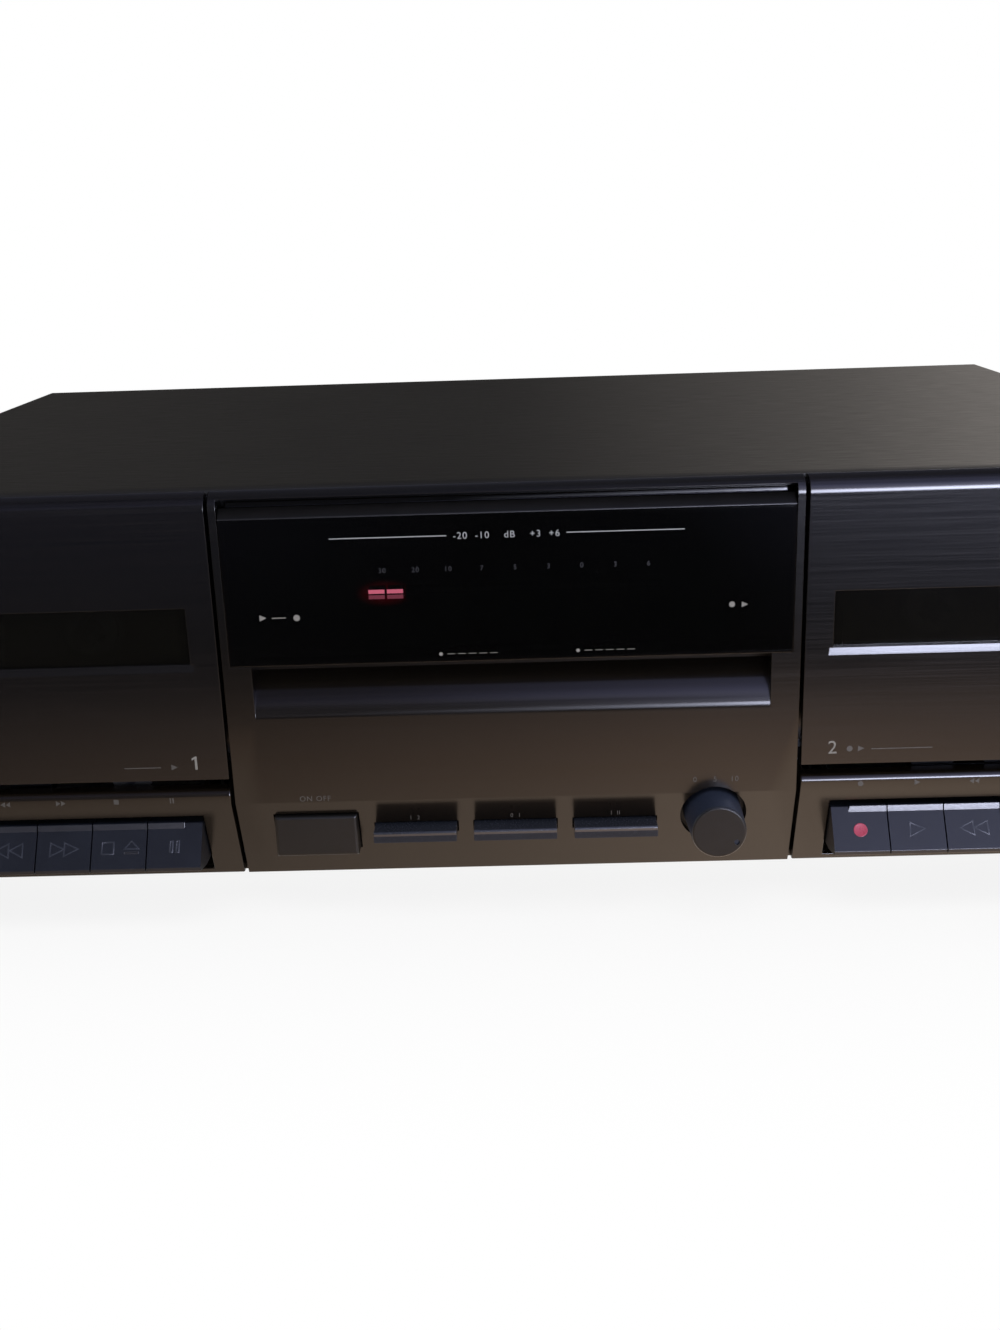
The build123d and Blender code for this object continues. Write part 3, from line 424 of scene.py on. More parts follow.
@dataclass(frozen=True)
class CircuitBoard(Finish):
    """Phenolic board under green mask, with the copper tracks showing as paler lanes."""

    lane: float = 3.0

    def colour_of(self, tree: Tree, place: Socket, height: Node) -> Node:
        """Give the mask's colour with paler lanes where copper lies under it.

        Args:
            tree: The material's node tree.
            place: Object coordinates.
            height: The grain's height.

        Returns:
            The node that carries the colour.
        """
        lanes = add_node(tree, "Mapping", {"Scale": (1 / (self.lane * MM),) * 3, "Vector": place})
        squares = {"distance": "CHEBYCHEV", "feature": "F2", "Scale": 1.0}
        cells = add_node(tree, "TexVoronoi", {**squares, "Vector": lanes})
        edge = add_node(tree, "MapRange", {"From Min": 0.55, "From Max": 0.62, "Value": cells})
        return add_node(tree, "Mix", {"data_type": "RGBA", 0: edge, 6: self.colour, 7: self.blotch})


# The bloom of ink and fine mouldings is about 0.05 mm, too fine to show, so it is drawn at 0.35 mm
FINE_GRAIN = Grain((0.35, 0.35, 0.35), 0.012)
# Spark-eroded moulds leave pits about 0.1 mm across, drawn at 0.5 mm so that they show
SPARK_GRAIN = Grain((0.5, 0.5, 0.5), 0.016, 3.0)
# Sprayed paint pulls into a skin of dimples about 1 mm across
ORANGE_PEEL = Grain((0.9, 0.9, 0.9), 0.02, 3.0)
# The front's hairlines are about 0.1 mm apart, too fine to show, so they are drawn 0.4 mm apart,
# and the doors' 0.2 mm apart
LEVEL_HAIRLINES = Grain((80.0, 0.4, 0.4), 0.004)
DOOR_HAIRLINES = Grain((45.0, 0.2, 0.2), 0.006, 4.0)
# Rolling marks under the cover's paint, about a millimetre apart and a centimetre long
COVER_BRUSH = Grain((12.0, 1.2, 1.2), 0.008, 3.0)
# Cast acrylic is flat but for a slow swell over some 30 mm
POLISH = Grain((30.0, 30.0, 30.0), 0.002, 1.0)
# Skin of a rolled sheet: streaks some 14 mm long
ROLLED_SKIN = Grain((14.0, 0.8, 0.8), 0.004, 3.0)
# Grinding marks and tool rings are finer than 0.1 mm, drawn at 0.3 and 0.2 mm
GRINDING = Grain((0.3, 9.0, 0.3), 0.003)
TOOL_RINGS = Grain((0.2, 4.0, 0.2), 0.004)
# A transformer's iron sheets are about 0.5 mm thick, drawn at 0.9 mm
LAMINATIONS = Grain((60.0, 0.9, 60.0), 0.08, 0.0)


class Look(Enum):
    """Every finish on the deck."""

    # Sprayed anthracite over moulded level hairlines: a soft sheen that smears along the lines
    # Its colours by height are a painted reflection: brown at the foot, where the warm tabletop is mirrored,
    # cooler at the top
    FRONT = HairlinedFront(
        "painted_abs_hairlined_front", "#12100f", "#1e1914", 0.19, LEVEL_HAIRLINES,
        blotch_share=0.25, gloss_spread=0.03,
        stops=((0.0, "#1a1510"), (0.35, "#15100c"), (0.6, "#0f0d0b"), (0.8, "#0e0e0f"), (1.0, "#101013")),
    )
    # The same paint on the doors, from another shot of the mould, with the same painted reflection by height:
    # browner at the foot and a shade cooler towards the top
    DOOR = HairlinedFront(
        "painted_abs_hairlined_door", "#111010", "#1e1a1a", 0.17, DOOR_HAIRLINES, gloss_spread=0.04,
        stops=((0.0, "#181411"), (0.3, "#131110"), (0.65, "#0d0d0e"), (1.0, "#101014")),
    )
    # Satin paint over rolled steel: pale only at a grazing look, rubbed lighter along the folds
    COVER = Finish(
        "satin_paint_on_steel", "#131211", "#191816", 0.42, COVER_BRUSH, specular=0.35,
        blotch_size=60.0, blotch_share=0.4, edge_wear_and_highlight="#33312f",
    )
    # Matt powder coat on steel: an even dull grey with a dimpled skin
    REAR = Finish(
        "matt_paint_on_steel", "#1d1d1e", "#252525", 0.55, ORANGE_PEEL, specular=0.35, edge_wear_and_highlight="#48484a"
    )
    # Cast acrylic, back-tinted almost black and polished: a clear mirror with a little dust
    WINDOW = TintedAcrylic("tinted_acrylic_window", "#050505", "#070707", 0.05, POLISH, gloss_spread=0.015)
    # Cast acrylic with a smoke tint: the mechanism shows through it faintly
    PANE = TintedAcrylic("smoked_acrylic_pane", "#0e0d0a", "#11100c", 0.06, POLISH, gloss_spread=0.02)
    # The milled edge of the same acrylic: left from the cutter, a dull dark grey
    WINDOW_EDGE = Finish(
        "milled_acrylic_edge", "#100f0f", "#151414", 0.34, FINE_GRAIN, blotch_size=6.0, specular=0.35
    )
    # Diffused epoxy of the level bars: pink-red where lit, near black where not
    METER = MeterLight("diffused_led_bar", "#140c0e", "#100a0b", 0.5, FINE_GRAIN)
    # Phenolic paper board under green mask: paler lanes where copper lies below
    BOARD = CircuitBoard("masked_phenolic_board", "#1d3a22", "#2f5a33", 0.45, FINE_GRAIN)
    # The same board in black mask, so that nothing shows behind the window, with a painted red glow round the
    # lit bars
    METER_BOARD = BoardWithPaintedGlow("black_masked_board", "#060606", "#090909", 0.6, FINE_GRAIN, specular=0.1)
    # Slate-blue ABS from a spark-eroded mould: soft blue highlights on an almost black face
    KEY = Finish("moulded_abs_slate_key", "#10131b", "#161a24", 0.36, SPARK_GRAIN, specular=0.42)
    # The strip along each key's top edge: a lighter, glossier copy of the key plastic, a painted highlight
    # where it mirrors the window
    KEY_STRIP = Finish("abs_slate_strip_painted_highlight", "#151822", "#1a1e29", 0.34, SPARK_GRAIN, specular=0.75)
    # The raised symbols of the keys, lighter than the key plastic: a painted highlight for the line of light
    # on each upper flank
    KEY_MARK = Finish("abs_slate_symbol_painted_highlight", "#20242f", "#1a1d27", 0.42, FINE_GRAIN, blotch_size=1.5)
    # Dark blue-grey ABS of the small buttons: satin, with a bright line on its leaning front edge; the paler
    # blue-grey along its edges is a painted highlight
    BUTTON = Finish(
        "moulded_abs_blue_grey_button", "#23262f", "#282b35", 0.24, SPARK_GRAIN,
        specular=0.2, edge_wear_and_highlight="#4a4e5e",
    )
    # The front edge of a small button, burnished by fingers: a pale line where it mirrors a window
    BUTTON_EDGE = Finish("burnished_abs_button_edge", "#23262f", "#2b2e38", 0.2, FINE_GRAIN, specular=1.0)
    # Black ABS of the power button: warmer and duller than the keys; the bluish grey along its edges is a
    # painted highlight
    POWER = Finish(
        "moulded_abs_warm_black_button", "#100f0e", "#161413", 0.36, SPARK_GRAIN,
        specular=0.3, edge_wear_and_highlight="#3a3d46",
    )
    # Black ABS of the knob's face: dull, a little rubbed at its edges
    KNOB = Finish(
        "moulded_abs_knob", "#100f0f", "#161515", 0.38, SPARK_GRAIN, specular=0.22, edge_wear_and_highlight="#34343a"
    )
    # The knob's flank, a lighter blue copy of the knob plastic: a painted sheen of the blue room light on it
    KNOB_FLANK = Finish("abs_knob_flank_painted_sheen", "#262c3c", "#2e3446", 0.5, SPARK_GRAIN, specular=0.2)
    # The knob's rim, a lighter, glossier copy of the knob plastic: a painted sheen that gives the soft light
    # arc at the top
    KNOB_RIM = Finish("abs_knob_rim_painted_sheen", "#23262f", "#2b2e38", 0.34, FINE_GRAIN, specular=0.35)
    # Black polystyrene of the fittings: plain dull plastic
    BLACK = Finish("moulded_black_polystyrene", "#131314", "#1a1a1b", 0.5, SPARK_GRAIN)
    # Black ABS of the cassette holders: a shade glossier than the fittings
    HOLDER = Finish("moulded_black_abs_holder", "#0c0c0d", "#131314", 0.42, SPARK_GRAIN, specular=0.35)
    # White acetal, as moulded: waxy and slightly grey
    SPINDLE = Finish("moulded_acetal_spindle", "#8a8c88", "#9c9e99", 0.45, FINE_GRAIN)
    # Zinc plate on sheet steel: grey, streaked metal with a soft lustre
    ZINC = Finish(
        "zinc_plated_sheet_steel", "#a9abaa", "#8f9294", 0.36, ROLLED_SKIN,
        metallic=1.0, blotch_size=6.0, gloss_spread=0.1,
    )
    # Black passivated sheet steel: metal that stays dark behind the doors
    CHASSIS = Finish(
        "black_passivated_sheet_steel", "#18181a", "#202123", 0.45, ROLLED_SKIN,
        metallic=1.0, blotch_size=6.0, gloss_spread=0.08, edge_wear_and_highlight="#3a3b3d",
    )
    # Nickel on a deep-drawn can: even, warm-grey metal
    MOTOR = Finish("nickel_plated_motor_can", "#9a9c9d", "#83868a", 0.3, FINE_GRAIN, metallic=1.0)
    # Ground steel: rings of fine grinding marks, bright
    STEEL = Finish("ground_steel", "#b8babb", "#a3a5a7", 0.22, GRINDING, metallic=1.0)
    # Brass turned on a lathe: yellow, with tool rings round it
    BRASS = Finish("turned_brass", "#c3a35c", "#a98b4a", 0.28, TOOL_RINGS, metallic=1.0)
    # Hard chrome on the heads: nearly a mirror
    CHROME = Finish("chromed_head", "#c4c6c8", "#b1b4b7", 0.12, POLISH, metallic=1.0)
    # Moulded nitrile rubber: dead matt black
    RUBBER = Finish("moulded_nitrile_rubber", "#151414", "#1e1c1b", 0.75, FINE_GRAIN, specular=0.3)
    # Black zinc on screws: dark metal, worn silver on the high edges
    SCREW = Finish(
        "black_zinc_screw", "#2a2a2c", "#39393b", 0.35, FINE_GRAIN,
        metallic=1.0, edge_wear_and_highlight="#7c7d80", edge_width=0.2,
    )
    # Stacked iron sheets under varnish: dull grey metal in fine layers
    IRON = Finish("varnished_iron_laminations", "#3a3b3f", "#55565a", 0.5, LAMINATIONS, metallic=0.6)
    # Nickel on brass sockets: warm bright metal
    JACK = Finish("nickel_plated_brass_jack", "#b9b5a8", "#a5a195", 0.22, FINE_GRAIN, metallic=1.0)
    # Moulded nylon of the sockets' insulators, red and white: a waxy, even colour
    RED_NYLON = Finish("moulded_red_nylon", "#8c1a1c", "#781517", 0.45, FINE_GRAIN)
    WHITE_NYLON = Finish("moulded_white_nylon", "#c9c7c0", "#b8b6ae", 0.45, FINE_GRAIN)
    # Polypropylene feet: greasy dull black
    FOOT = Finish("moulded_polypropylene_foot", "#161616", "#1d1d1d", 0.6, SPARK_GRAIN)
    # Pad-printed inks: thin, dull films whose edges soften into the paint
    INK = Ink("pad_printed_grey_ink", "#85827e", "#6f6c68", 0.55, FINE_GRAIN)
    DIM_INK = Ink("pad_printed_dim_ink", "#4c4844", "#3e3b38", 0.55, FINE_GRAIN)
    # Silk-screened inks of the window: a plain white one, and one that shows only in strong light
    WINDOW_INK = Ink("silk_screened_white_ink", "#a2a4aa", "#8c8e94", 0.5, FINE_GRAIN)
    SCALE_INK = Ink("silk_screened_dim_ink", "#202024", "#19191c", 0.5, FINE_GRAIN)
    # Red enamel in the record key's dimple: glossier than the plastic round it
    RED_INK = Finish("red_enamelled_dimple", "#b23d56", "#9c3149", 0.3, FINE_GRAIN, blotch_size=1.5)


@dataclass
class Bench:
    """Where the pieces come from and go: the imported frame's nodes, bodies and slots.

    Faces that turn less than flat degrees are one face. Edges that turn more than smooth degrees
    are shaded sharp, and between two broad faces, whose area is more than broad millimetres by
    their perimeter, those that turn more than crease degrees. Edges that turn more than corner
    degrees can be rounded, and special ones from slight_corner degrees.
    """

    nodes: dict[str, Piece]
    body_of: dict[str, str]
    slot_of: dict[str, str]
    flat: float = 0.6
    smooth: float = 40.0
    broad: float = 0.7
    crease: float = 8.5
    corner: float = 28.0
    slight_corner: float = 15.0

    @classmethod
    def from_frame(cls, frame: dict) -> Bench:
        """Read the nodes, their bodies and their slots from the loaded frame.

        Args:
            frame: The loaded frame.

        Returns:
            The bench.
        """
        record = frame["record"]
        body_of = {node: body for body, group in record["behaviour"]["bodies"].items() for node in group}
        slot_of = {row["node"]: row["material_slot"] for row in record["subparts"]}
        return cls(frame["nodes"], body_of, slot_of)

    def dress(self, look: Look, *names: str) -> None:
        """Give CAD nodes their finish.

        Args:
            look: The finish.
            names: The nodes that get it.
        """
        for name in names:
            slots = self.nodes[name].material_slots
            for slot in slots:
                slot.material = look.value.material()
            if not slots:
                self.nodes[name].data.materials.append(look.value.material())
            LOG.info("dressed %s in %s", name, look.value.name)

    def copy(self, node: str) -> Shape:
        """Copy a CAD node's mesh, with its doubled corners joined and its flat triangles merged.

        Args:
            node: The node.

        Returns:
            The copy.
        """
        shape = bmesh.new()
        shape.from_mesh(self.nodes[node].data)
        bmesh.ops.remove_doubles(shape, verts=shape.verts, dist=WELD)
        flat = math.radians(self.flat)
        bmesh.ops.dissolve_limit(shape, angle_limit=flat, verts=shape.verts, edges=shape.edges)
        return shape

    def add(self, name: str, shape: Shape, looks: Sequence[Look], node: str, replaces: bool = False) -> None:
        """Make a piece that rides with a node's body.

        Args:
            name: The piece's name.
            shape: Its mesh, in the frame's coordinates. It is freed here.
            looks: Its finishes, in the order of its faces' material numbers.
            node: The CAD node that it belongs with.
            replaces: True where it stands for that node.
        """
        broad = {face for face in shape.faces if face.calc_area() > self.broad * MM * face.calc_perimeter()}
        for face in shape.faces:
            face.smooth = True
        for edge in shape.edges:
            limit = self.crease if broad.issuperset(edge.link_faces) else self.smooth
            edge.smooth = len(edge.link_faces) == 2 and edge.calc_face_angle() < math.radians(limit)
        mesh = bpy.data.meshes.new(name)
        shape.to_mesh(mesh)
        shape.free()
        for look in looks:
            mesh.materials.append(look.value.material())
        piece = hang(name, mesh)
        piece.modifiers.new("even_shading", "WEIGHTED_NORMAL").keep_sharp = True
        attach(piece, self.body_of[node])
        if replaces:
            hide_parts(node)
        LOG.info("made %s for %s", name, node)

    def soften(
        self,
        node: str,
        look: Look,
        edge: float,
        where: Test = lambda place: True,
        segments: int = 2,
        inlays: Sequence[tuple[Look, Test]] = (),
        special: Sequence[tuple[float, Test]] = (),
        cut: Callable[[Shape], None] = lambda shape: None,
    ) -> None:
        """Stand in for a node with a copy whose sharp edges are rounded.

        Args:
            node: The CAD node to copy.
            look: Its finish.
            edge: The radius of the rounded edges.
            where: Says of an edge's middle whether that edge is rounded.
            segments: Faces across each rounded edge.
            inlays: Other finishes, each with the test that names its faces by their middles.
            special: Other radii, each with the test that names its edges. They are rounded first,
                and edges that turn less are rounded too.
            cut: What is cut from the copy before its edges are rounded.
        """
        shape = self.copy(node)
        cut(shape)

        def plain(place: Vector) -> bool:
            """Say whether an edge's middle is left to the common radius."""
            return where(place) and not any(test(place) for _, test in special)

        for radius, fits in (*special, (edge, plain)):
            least = math.radians(self.corner if fits is plain else self.slight_corner)
            folds = [e for e in shape.edges if len(e.link_faces) == 2 and e.calc_face_angle() > least]
            bmesh.ops.bevel(
                shape,
                geom=[e for e in folds if fits((e.verts[0].co + e.verts[1].co) / 2)],
                offset=radius * MM,
                offset_type="OFFSET",
                segments=segments,
                profile=0.5,
                affect="EDGES",
                clamp_overlap=True,
            )
        for face in shape.faces:
            middle = face.calc_center_median()
            face.material_index = next((n for n, (_, test) in enumerate(inlays, 1) if test(middle)), 0)
        self.add(f"{node}_finished", shape, [look, *(other for other, _ in inlays)], node, replaces=True)

    def solids(self, node: str) -> list[tuple[Vector, Vector]]:
        """Find the separate solids of a CAD node.

        Args:
            node: The node.

        Returns:
            The low and high corners of each solid, in metres.
        """
        shape = self.copy(node)
        seen: set[Corner] = set()
        boxes = []
        for start in shape.verts:
            if start in seen:
                continue
            group, ends = [start], [start]
            seen.add(start)
            while ends:
                corner = ends.pop()
                new = {edge.other_vert(corner) for edge in corner.link_edges} - seen
                seen |= new
                group.extend(new)
                ends.extend(new)
            sides = list(zip(*(vertex.co for vertex in group)))
            boxes.append((Vector(map(min, sides)), Vector(map(max, sides))))
        shape.free()
        return boxes


def square_to(axis: Vector) -> tuple[Vector, Vector]:
    """Give two directions at right angles to an axis and to each other."""
    first = axis.orthogonal().normalized()
    return first, axis.cross(first).normalized()


def turn(shape: Shape, profile: Outline, centre: Vector, axis: Vector, sides: int = 40) -> list[Corner]:
    """Add a form turned about an axis.

    Args:
        shape: The mesh to add it to.
        profile: (radius, distance along the axis) pairs, in millimetres. A radius of 0 closes it.
        centre: Where the distance is 0.
        axis: Its direction.
        sides: Faces round it.

    Returns:
        The corners of the last ring.
    """
    first, second = square_to(axis)
    angles = [2 * math.pi * n / sides for n in range(sides)]
    round_about = [first * math.cos(a) + second * math.sin(a) for a in angles]
    rings = []
    for radius, along in profile:
        ways = round_about if radius else [RIGHT]
        rings.append([shape.verts.new(centre + (axis * along + way * radius) * MM) for way in ways])
    for low, high in zip(rings, rings[1:]):
        for n in range(sides):
            m = (n + 1) % sides
            loop = [low[n % len(low)], low[m % len(low)], high[m % len(high)], high[n % len(high)]]
            shape.faces.new(list(dict.fromkeys(loop)))
    return rings[-1]


@dataclass(frozen=True)
class CrossScrew:
    """A pan-head screw with a cross recess."""

    head: float = 3.4
    rise: float = 1.8
    shank: float = 1.4
    point: float = 0.9
    tip_share: float = 0.6
    cross_reach: float = 1.75
    cross_half: float = 0.42
    cross_depth: float = 1.2
    cross_taper: float = 0.6

    def build(self, shape: Shape, seat: Vector, out: Vector, length: float) -> None:
        """Add the screw to a mesh.

        Args:
            shape: The mesh.
            seat: The middle of the head's seat.
            out: The way the head faces.
            length: The length of its shank.
        """
        dome = ((1.0, 0.0), (1.0, 0.35), (0.96, 0.6), (0.86, 0.83), (0.7, 0.97), (0.6, 1.0))
        thick, end = self.shank, -length
        shank = ((0, end), (thick * self.tip_share, end), (thick, end + self.point), (thick, 0))
        rim = turn(shape, (*shank, *((self.head * r, self.rise * h) for r, h in dome)), seat, out)
        first, second = square_to(out)
        reach, half = self.cross_reach, self.cross_half
        arm = ((reach, -half), (reach, half), (half, half))
        quarters = ((1, 0), (0, 1), (-1, 0), (0, -1))
        cross = [(x * c - y * s, x * s + y * c) for c, s in quarters for x, y in arm]
        top, low = (
            [shape.verts.new(seat + (out * level + (first * x + second * y) * share) * MM) for x, y in cross]
            for level, share in ((self.rise, 1.0), (self.rise - self.cross_depth, self.cross_taper))
        )
        edges = [shape.edges.get((rim[n - 1], rim[n])) for n in range(len(rim))]
        edges += [shape.edges.new((top[n - 1], top[n])) for n in range(len(top))]
        bmesh.ops.triangle_fill(shape, edges=edges, use_beauty=True)
        for n in range(len(top)):
            shape.faces.new([top[n - 1], top[n], low[n], low[n - 1]])
        shape.faces.new(low)


def box(left: float, right: float, low: float, high: float) -> Outline:
    """Give the outline of an upright box."""
    return (left, low), (right, low), (right, high), (left, high)


def bar(width: float, height: float) -> Outline:
    """Give the outline of an upright box about its middle."""
    return box(-width / 2, width / 2, -height / 2, height / 2)


def arrow(tip: float, back: float, half: float = 0.5) -> Outline:
    """Give the outline of a sideways triangle between its tip and its back."""
    reach = half if tip > back else -half
    return (tip, 0.0), (back, reach), (back, -reach)


def disc(radius: float, sides: int = 24) -> Outline:
    """Give the outline of a circle."""
    turns = [2 * math.pi * n / sides for n in range(sides)]
    return [(radius * math.cos(t), radius * math.sin(t)) for t in turns]


class Sign(Enum):
    """The plain transport symbols."""

    PLAY = "play"
    REWIND = "rewind"
    FORWARD = "forward"
    STOP = "stop"
    PAUSE = "pause"
    RECORD = "record"


# The printed symbols, for a height of 1
FLAT_SIGNS: dict[Sign, Sequence[Outline]] = {
    Sign.PLAY: [arrow(0.5, -0.5)],
    Sign.REWIND: [arrow(-0.85, -0.05), arrow(0.05, 0.85)],
    Sign.FORWARD: [arrow(-0.05, -0.85), arrow(0.85, 0.05)],
    Sign.STOP: [bar(0.9, 0.9)],
    Sign.PAUSE: [box(-0.37, -0.13, -0.5, 0.5), box(0.13, 0.37, -0.5, 0.5)],
    Sign.RECORD: [disc(0.5)],
}
# The raised symbols of the keys, for a height of 1, each outline with its line's width in
# millimetres. The stop key also ejects, and the record key has a dish in their place. NECK is half
# the gap between two arrows.
NECK = 0.1 / 4.2
RAISED_SIGNS: dict[Sign, Sequence[tuple[float, Outline]]] = {
    Sign.PLAY: [(0.5, arrow(0.5, -0.5))],
    Sign.REWIND: [(0.5, arrow(-1.0, -NECK)), (0.5, arrow(NECK, 1.0))],
    Sign.FORWARD: [(0.5, arrow(-NECK, -1.0)), (0.5, arrow(1.0, NECK))],
    Sign.STOP: [
        (0.5, box(-1.25, -0.4, -0.425, 0.425)),
        (0.5, ((0.4, -0.075), (1.4, -0.075), (0.9, 0.5))),
        (0.3, box(0.4, 1.4, -0.425, -0.3)),
    ],
    Sign.PAUSE: [(0.5, box(-0.32, -0.14, -0.4, 0.4)), (0.5, box(0.14, 0.32, -0.4, 0.4))],
    Sign.RECORD: [],
}
# A bold figure 1 with a flag, for a height of 1
FIGURE_ONE = (
    (-0.02, -0.5), (0.15, -0.5), (0.15, 0.5), (0.02, 0.5), (-0.22, 0.36), (-0.22, 0.21), (-0.02, 0.31),
)
# The legends of the window and of each door: what is drawn, and its middle as (across, height above
# the front's bottom edge)
WINDOW_LEGENDS: Drawn = (
    (arrow(1.0, -1.0, 0.95), (-71.2, 85.4)),
    (bar(4.0, 0.3), (-66.6, 85.3)),
    (disc(0.95), (-61.4, 85.2)),
    (disc(0.85), (64.2, 85.7)),
    (arrow(0.9, -0.9, 0.85), (67.9, 85.6)),
)
DOOR_ARROW = arrow(0.95, -0.95, 0.9)
DOOR_LEGENDS: dict[str, Drawn] = {
    "a": ((bar(11.0, 0.28), (-111.2, 39.8)), (DOOR_ARROW, (-101.6, 39.8))),
    "b": ((disc(0.9), (99.8, 40.3)), (DOOR_ARROW, (103.2, 40.3)), (bar(18.0, 0.28), (115.2, 40.1))),
}
# The keys of each deck, from left to right
KEYS: dict[str, Sequence[Sign]] = {
    "a": (Sign.PAUSE, Sign.STOP, Sign.FORWARD, Sign.REWIND, Sign.PLAY),
    "b": (Sign.RECORD, Sign.PLAY, Sign.REWIND, Sign.FORWARD, Sign.STOP, Sign.PAUSE),
}


@dataclass
class Prints:
    """Marks on a flat face: origin, across and up span the face.

    Marks are drawn in millimetres from the origin, and printed ones stand lift proud of the face.
    """

    origin: Vector
    across: Vector
    up: Vector
    lift: float = 0.03
    cap_share: float = 0.72
    letter_gap: float = 1.15
    mitre_limit: float = 0.3
    shape: Shape = field(default_factory=bmesh.new)

    def spot(self, across: float, up: float, out: float = 0.0) -> Vector:
        """Give a place from its distances across, up and out of the face."""
        away = self.across.cross(self.up).normalized()
        return self.origin + (self.across * across + self.up * up + away * out) * MM

    def outline(self, points: Outline, middle: Point = (0.0, 0.0), size: float = 1.0) -> None:
        """Add a filled mark with this outline.

        Args:
            points: Its corners, anticlockwise, as (across, up).
            middle: Where the outline's own zero goes.
            size: What its corners are multiplied by.
        """
        low = [self.shape.verts.new(self.spot(middle[0] + x * size, middle[1] + z * size)) for x, z in points]
        face = self.shape.faces.new(low)
        out = self.spot(0, 0, self.lift) - self.origin
        face.normal_update()
        if face.normal.dot(out) < 0:
            face.normal_flip()
        lifted = bmesh.ops.extrude_face_region(self.shape, geom=[face])["geom"]
        bmesh.ops.translate(self.shape, verts=[v for v in lifted if isinstance(v, Corner)], vec=out)

    def ridge(self, points: Outline, middle: Point, size: float, width: float, rise: float) -> None:
        """Add a raised line with a pointed crest along a closed outline.

        Args:
            points: The outline's corners, anticlockwise, as (across, up).
            middle: Where the outline's own zero goes.
            size: What its corners are multiplied by.
            width: The line's width.
            rise: Its height over the face.
        """
        places = [Vector((middle[0] + x * size, middle[1] + z * size)) for x, z in points]
        loops: list[list[Corner]] = [[], [], []]
        for before, here, after in zip(places[-1:] + places, places, places[1:] + places):
            first, second = (here - before).normalized(), (after - here).normalized()
            inward = Vector((-first.y - second.y, first.x + second.x)).normalized()
            mitre = inward * (width / 2) / max(inward.dot(Vector((-first.y, first.x))), self.mitre_limit)
            for loop, shift, lift in zip(loops, (-1, 0, 1), (0, rise, 0)):
                loop.append(self.shape.verts.new(self.spot(*(here + mitre * shift), lift)))
        outer, crest, inner = loops
        for low, high in ((outer, crest), (crest, inner), (inner, outer)):
            for n in range(len(points)):
                self.shape.faces.new([low[n - 1], low[n], high[n], high[n - 1]])

    def dish(self, middle: Point, radius: float, rise: float) -> None:
        """Add a round spot with a raised rim and a hollow face.

        Args:
            middle: Its centre.
            radius: Its radius.
            rise: The height of its rim.
        """
        rim = ((0, 0), (1.0, 0.0), (0.97, 0.8), (0.9, 1.0))
        hollow = ((0.8, 0.75), (0.55, 0.35), (0.3, 0.15), (0, 0.1))
        profile = [(radius * r, rise * h) for r, h in (*rim, *hollow)]
        turn(self.shape, profile, self.spot(*middle), self.across.cross(self.up).normalized())

    def words(self, text: str, middle: Point, height: float) -> None:
        """Add plain figures or letters, centred on a place.

        Args:
            text: What to print.
            middle: Its centre.
            height: The height of a capital or figure.
        """
        curve = bpy.data.curves.new("figures", "FONT")
        curve.body = text
        curve.size = height / self.cap_share
        curve.extrude = self.lift / 2
        curve.space_character = self.letter_gap
        maker = hang("figures", curve)
        mesh = bpy.data.meshes.new_from_object(maker.evaluated_get(bpy.context.evaluated_depsgraph_get()))
        xs = [v.co.x for v in mesh.vertices]
        centre = (min(xs) + max(xs)) / 2
        for vertex in mesh.vertices:
            x, z, lift = vertex.co
            vertex.co = self.spot(x - centre + middle[0], z - height / 2 + middle[1], lift + self.lift / 2)
        self.shape.from_mesh(mesh)
        bpy.data.objects.remove(maker)
        bpy.data.meshes.remove(mesh)

    def closed(self) -> Shape:
        """Give the marks as closed solids that face outwards."""
        bmesh.ops.recalc_face_normals(self.shape, faces=list(self.shape.faces))
        return self.shape


@dataclass
class Front:
    """The places on the deck's flat front, worked out from the frame."""

    plane: float = field(init=False)
    bottom: float = field(init=False)

    def __post_init__(self) -> None:
        """Find the flat of the front and the front's bottom edge."""
        self.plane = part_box("door_panel_a")[0].y
        self.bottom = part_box("fascia")[0].z

    def prints(self) -> Prints:
        """Start prints on the flat front, drawn in (across, height above the bottom edge)."""
        return Prints(Vector((0, self.plane, self.bottom)), RIGHT, UP)


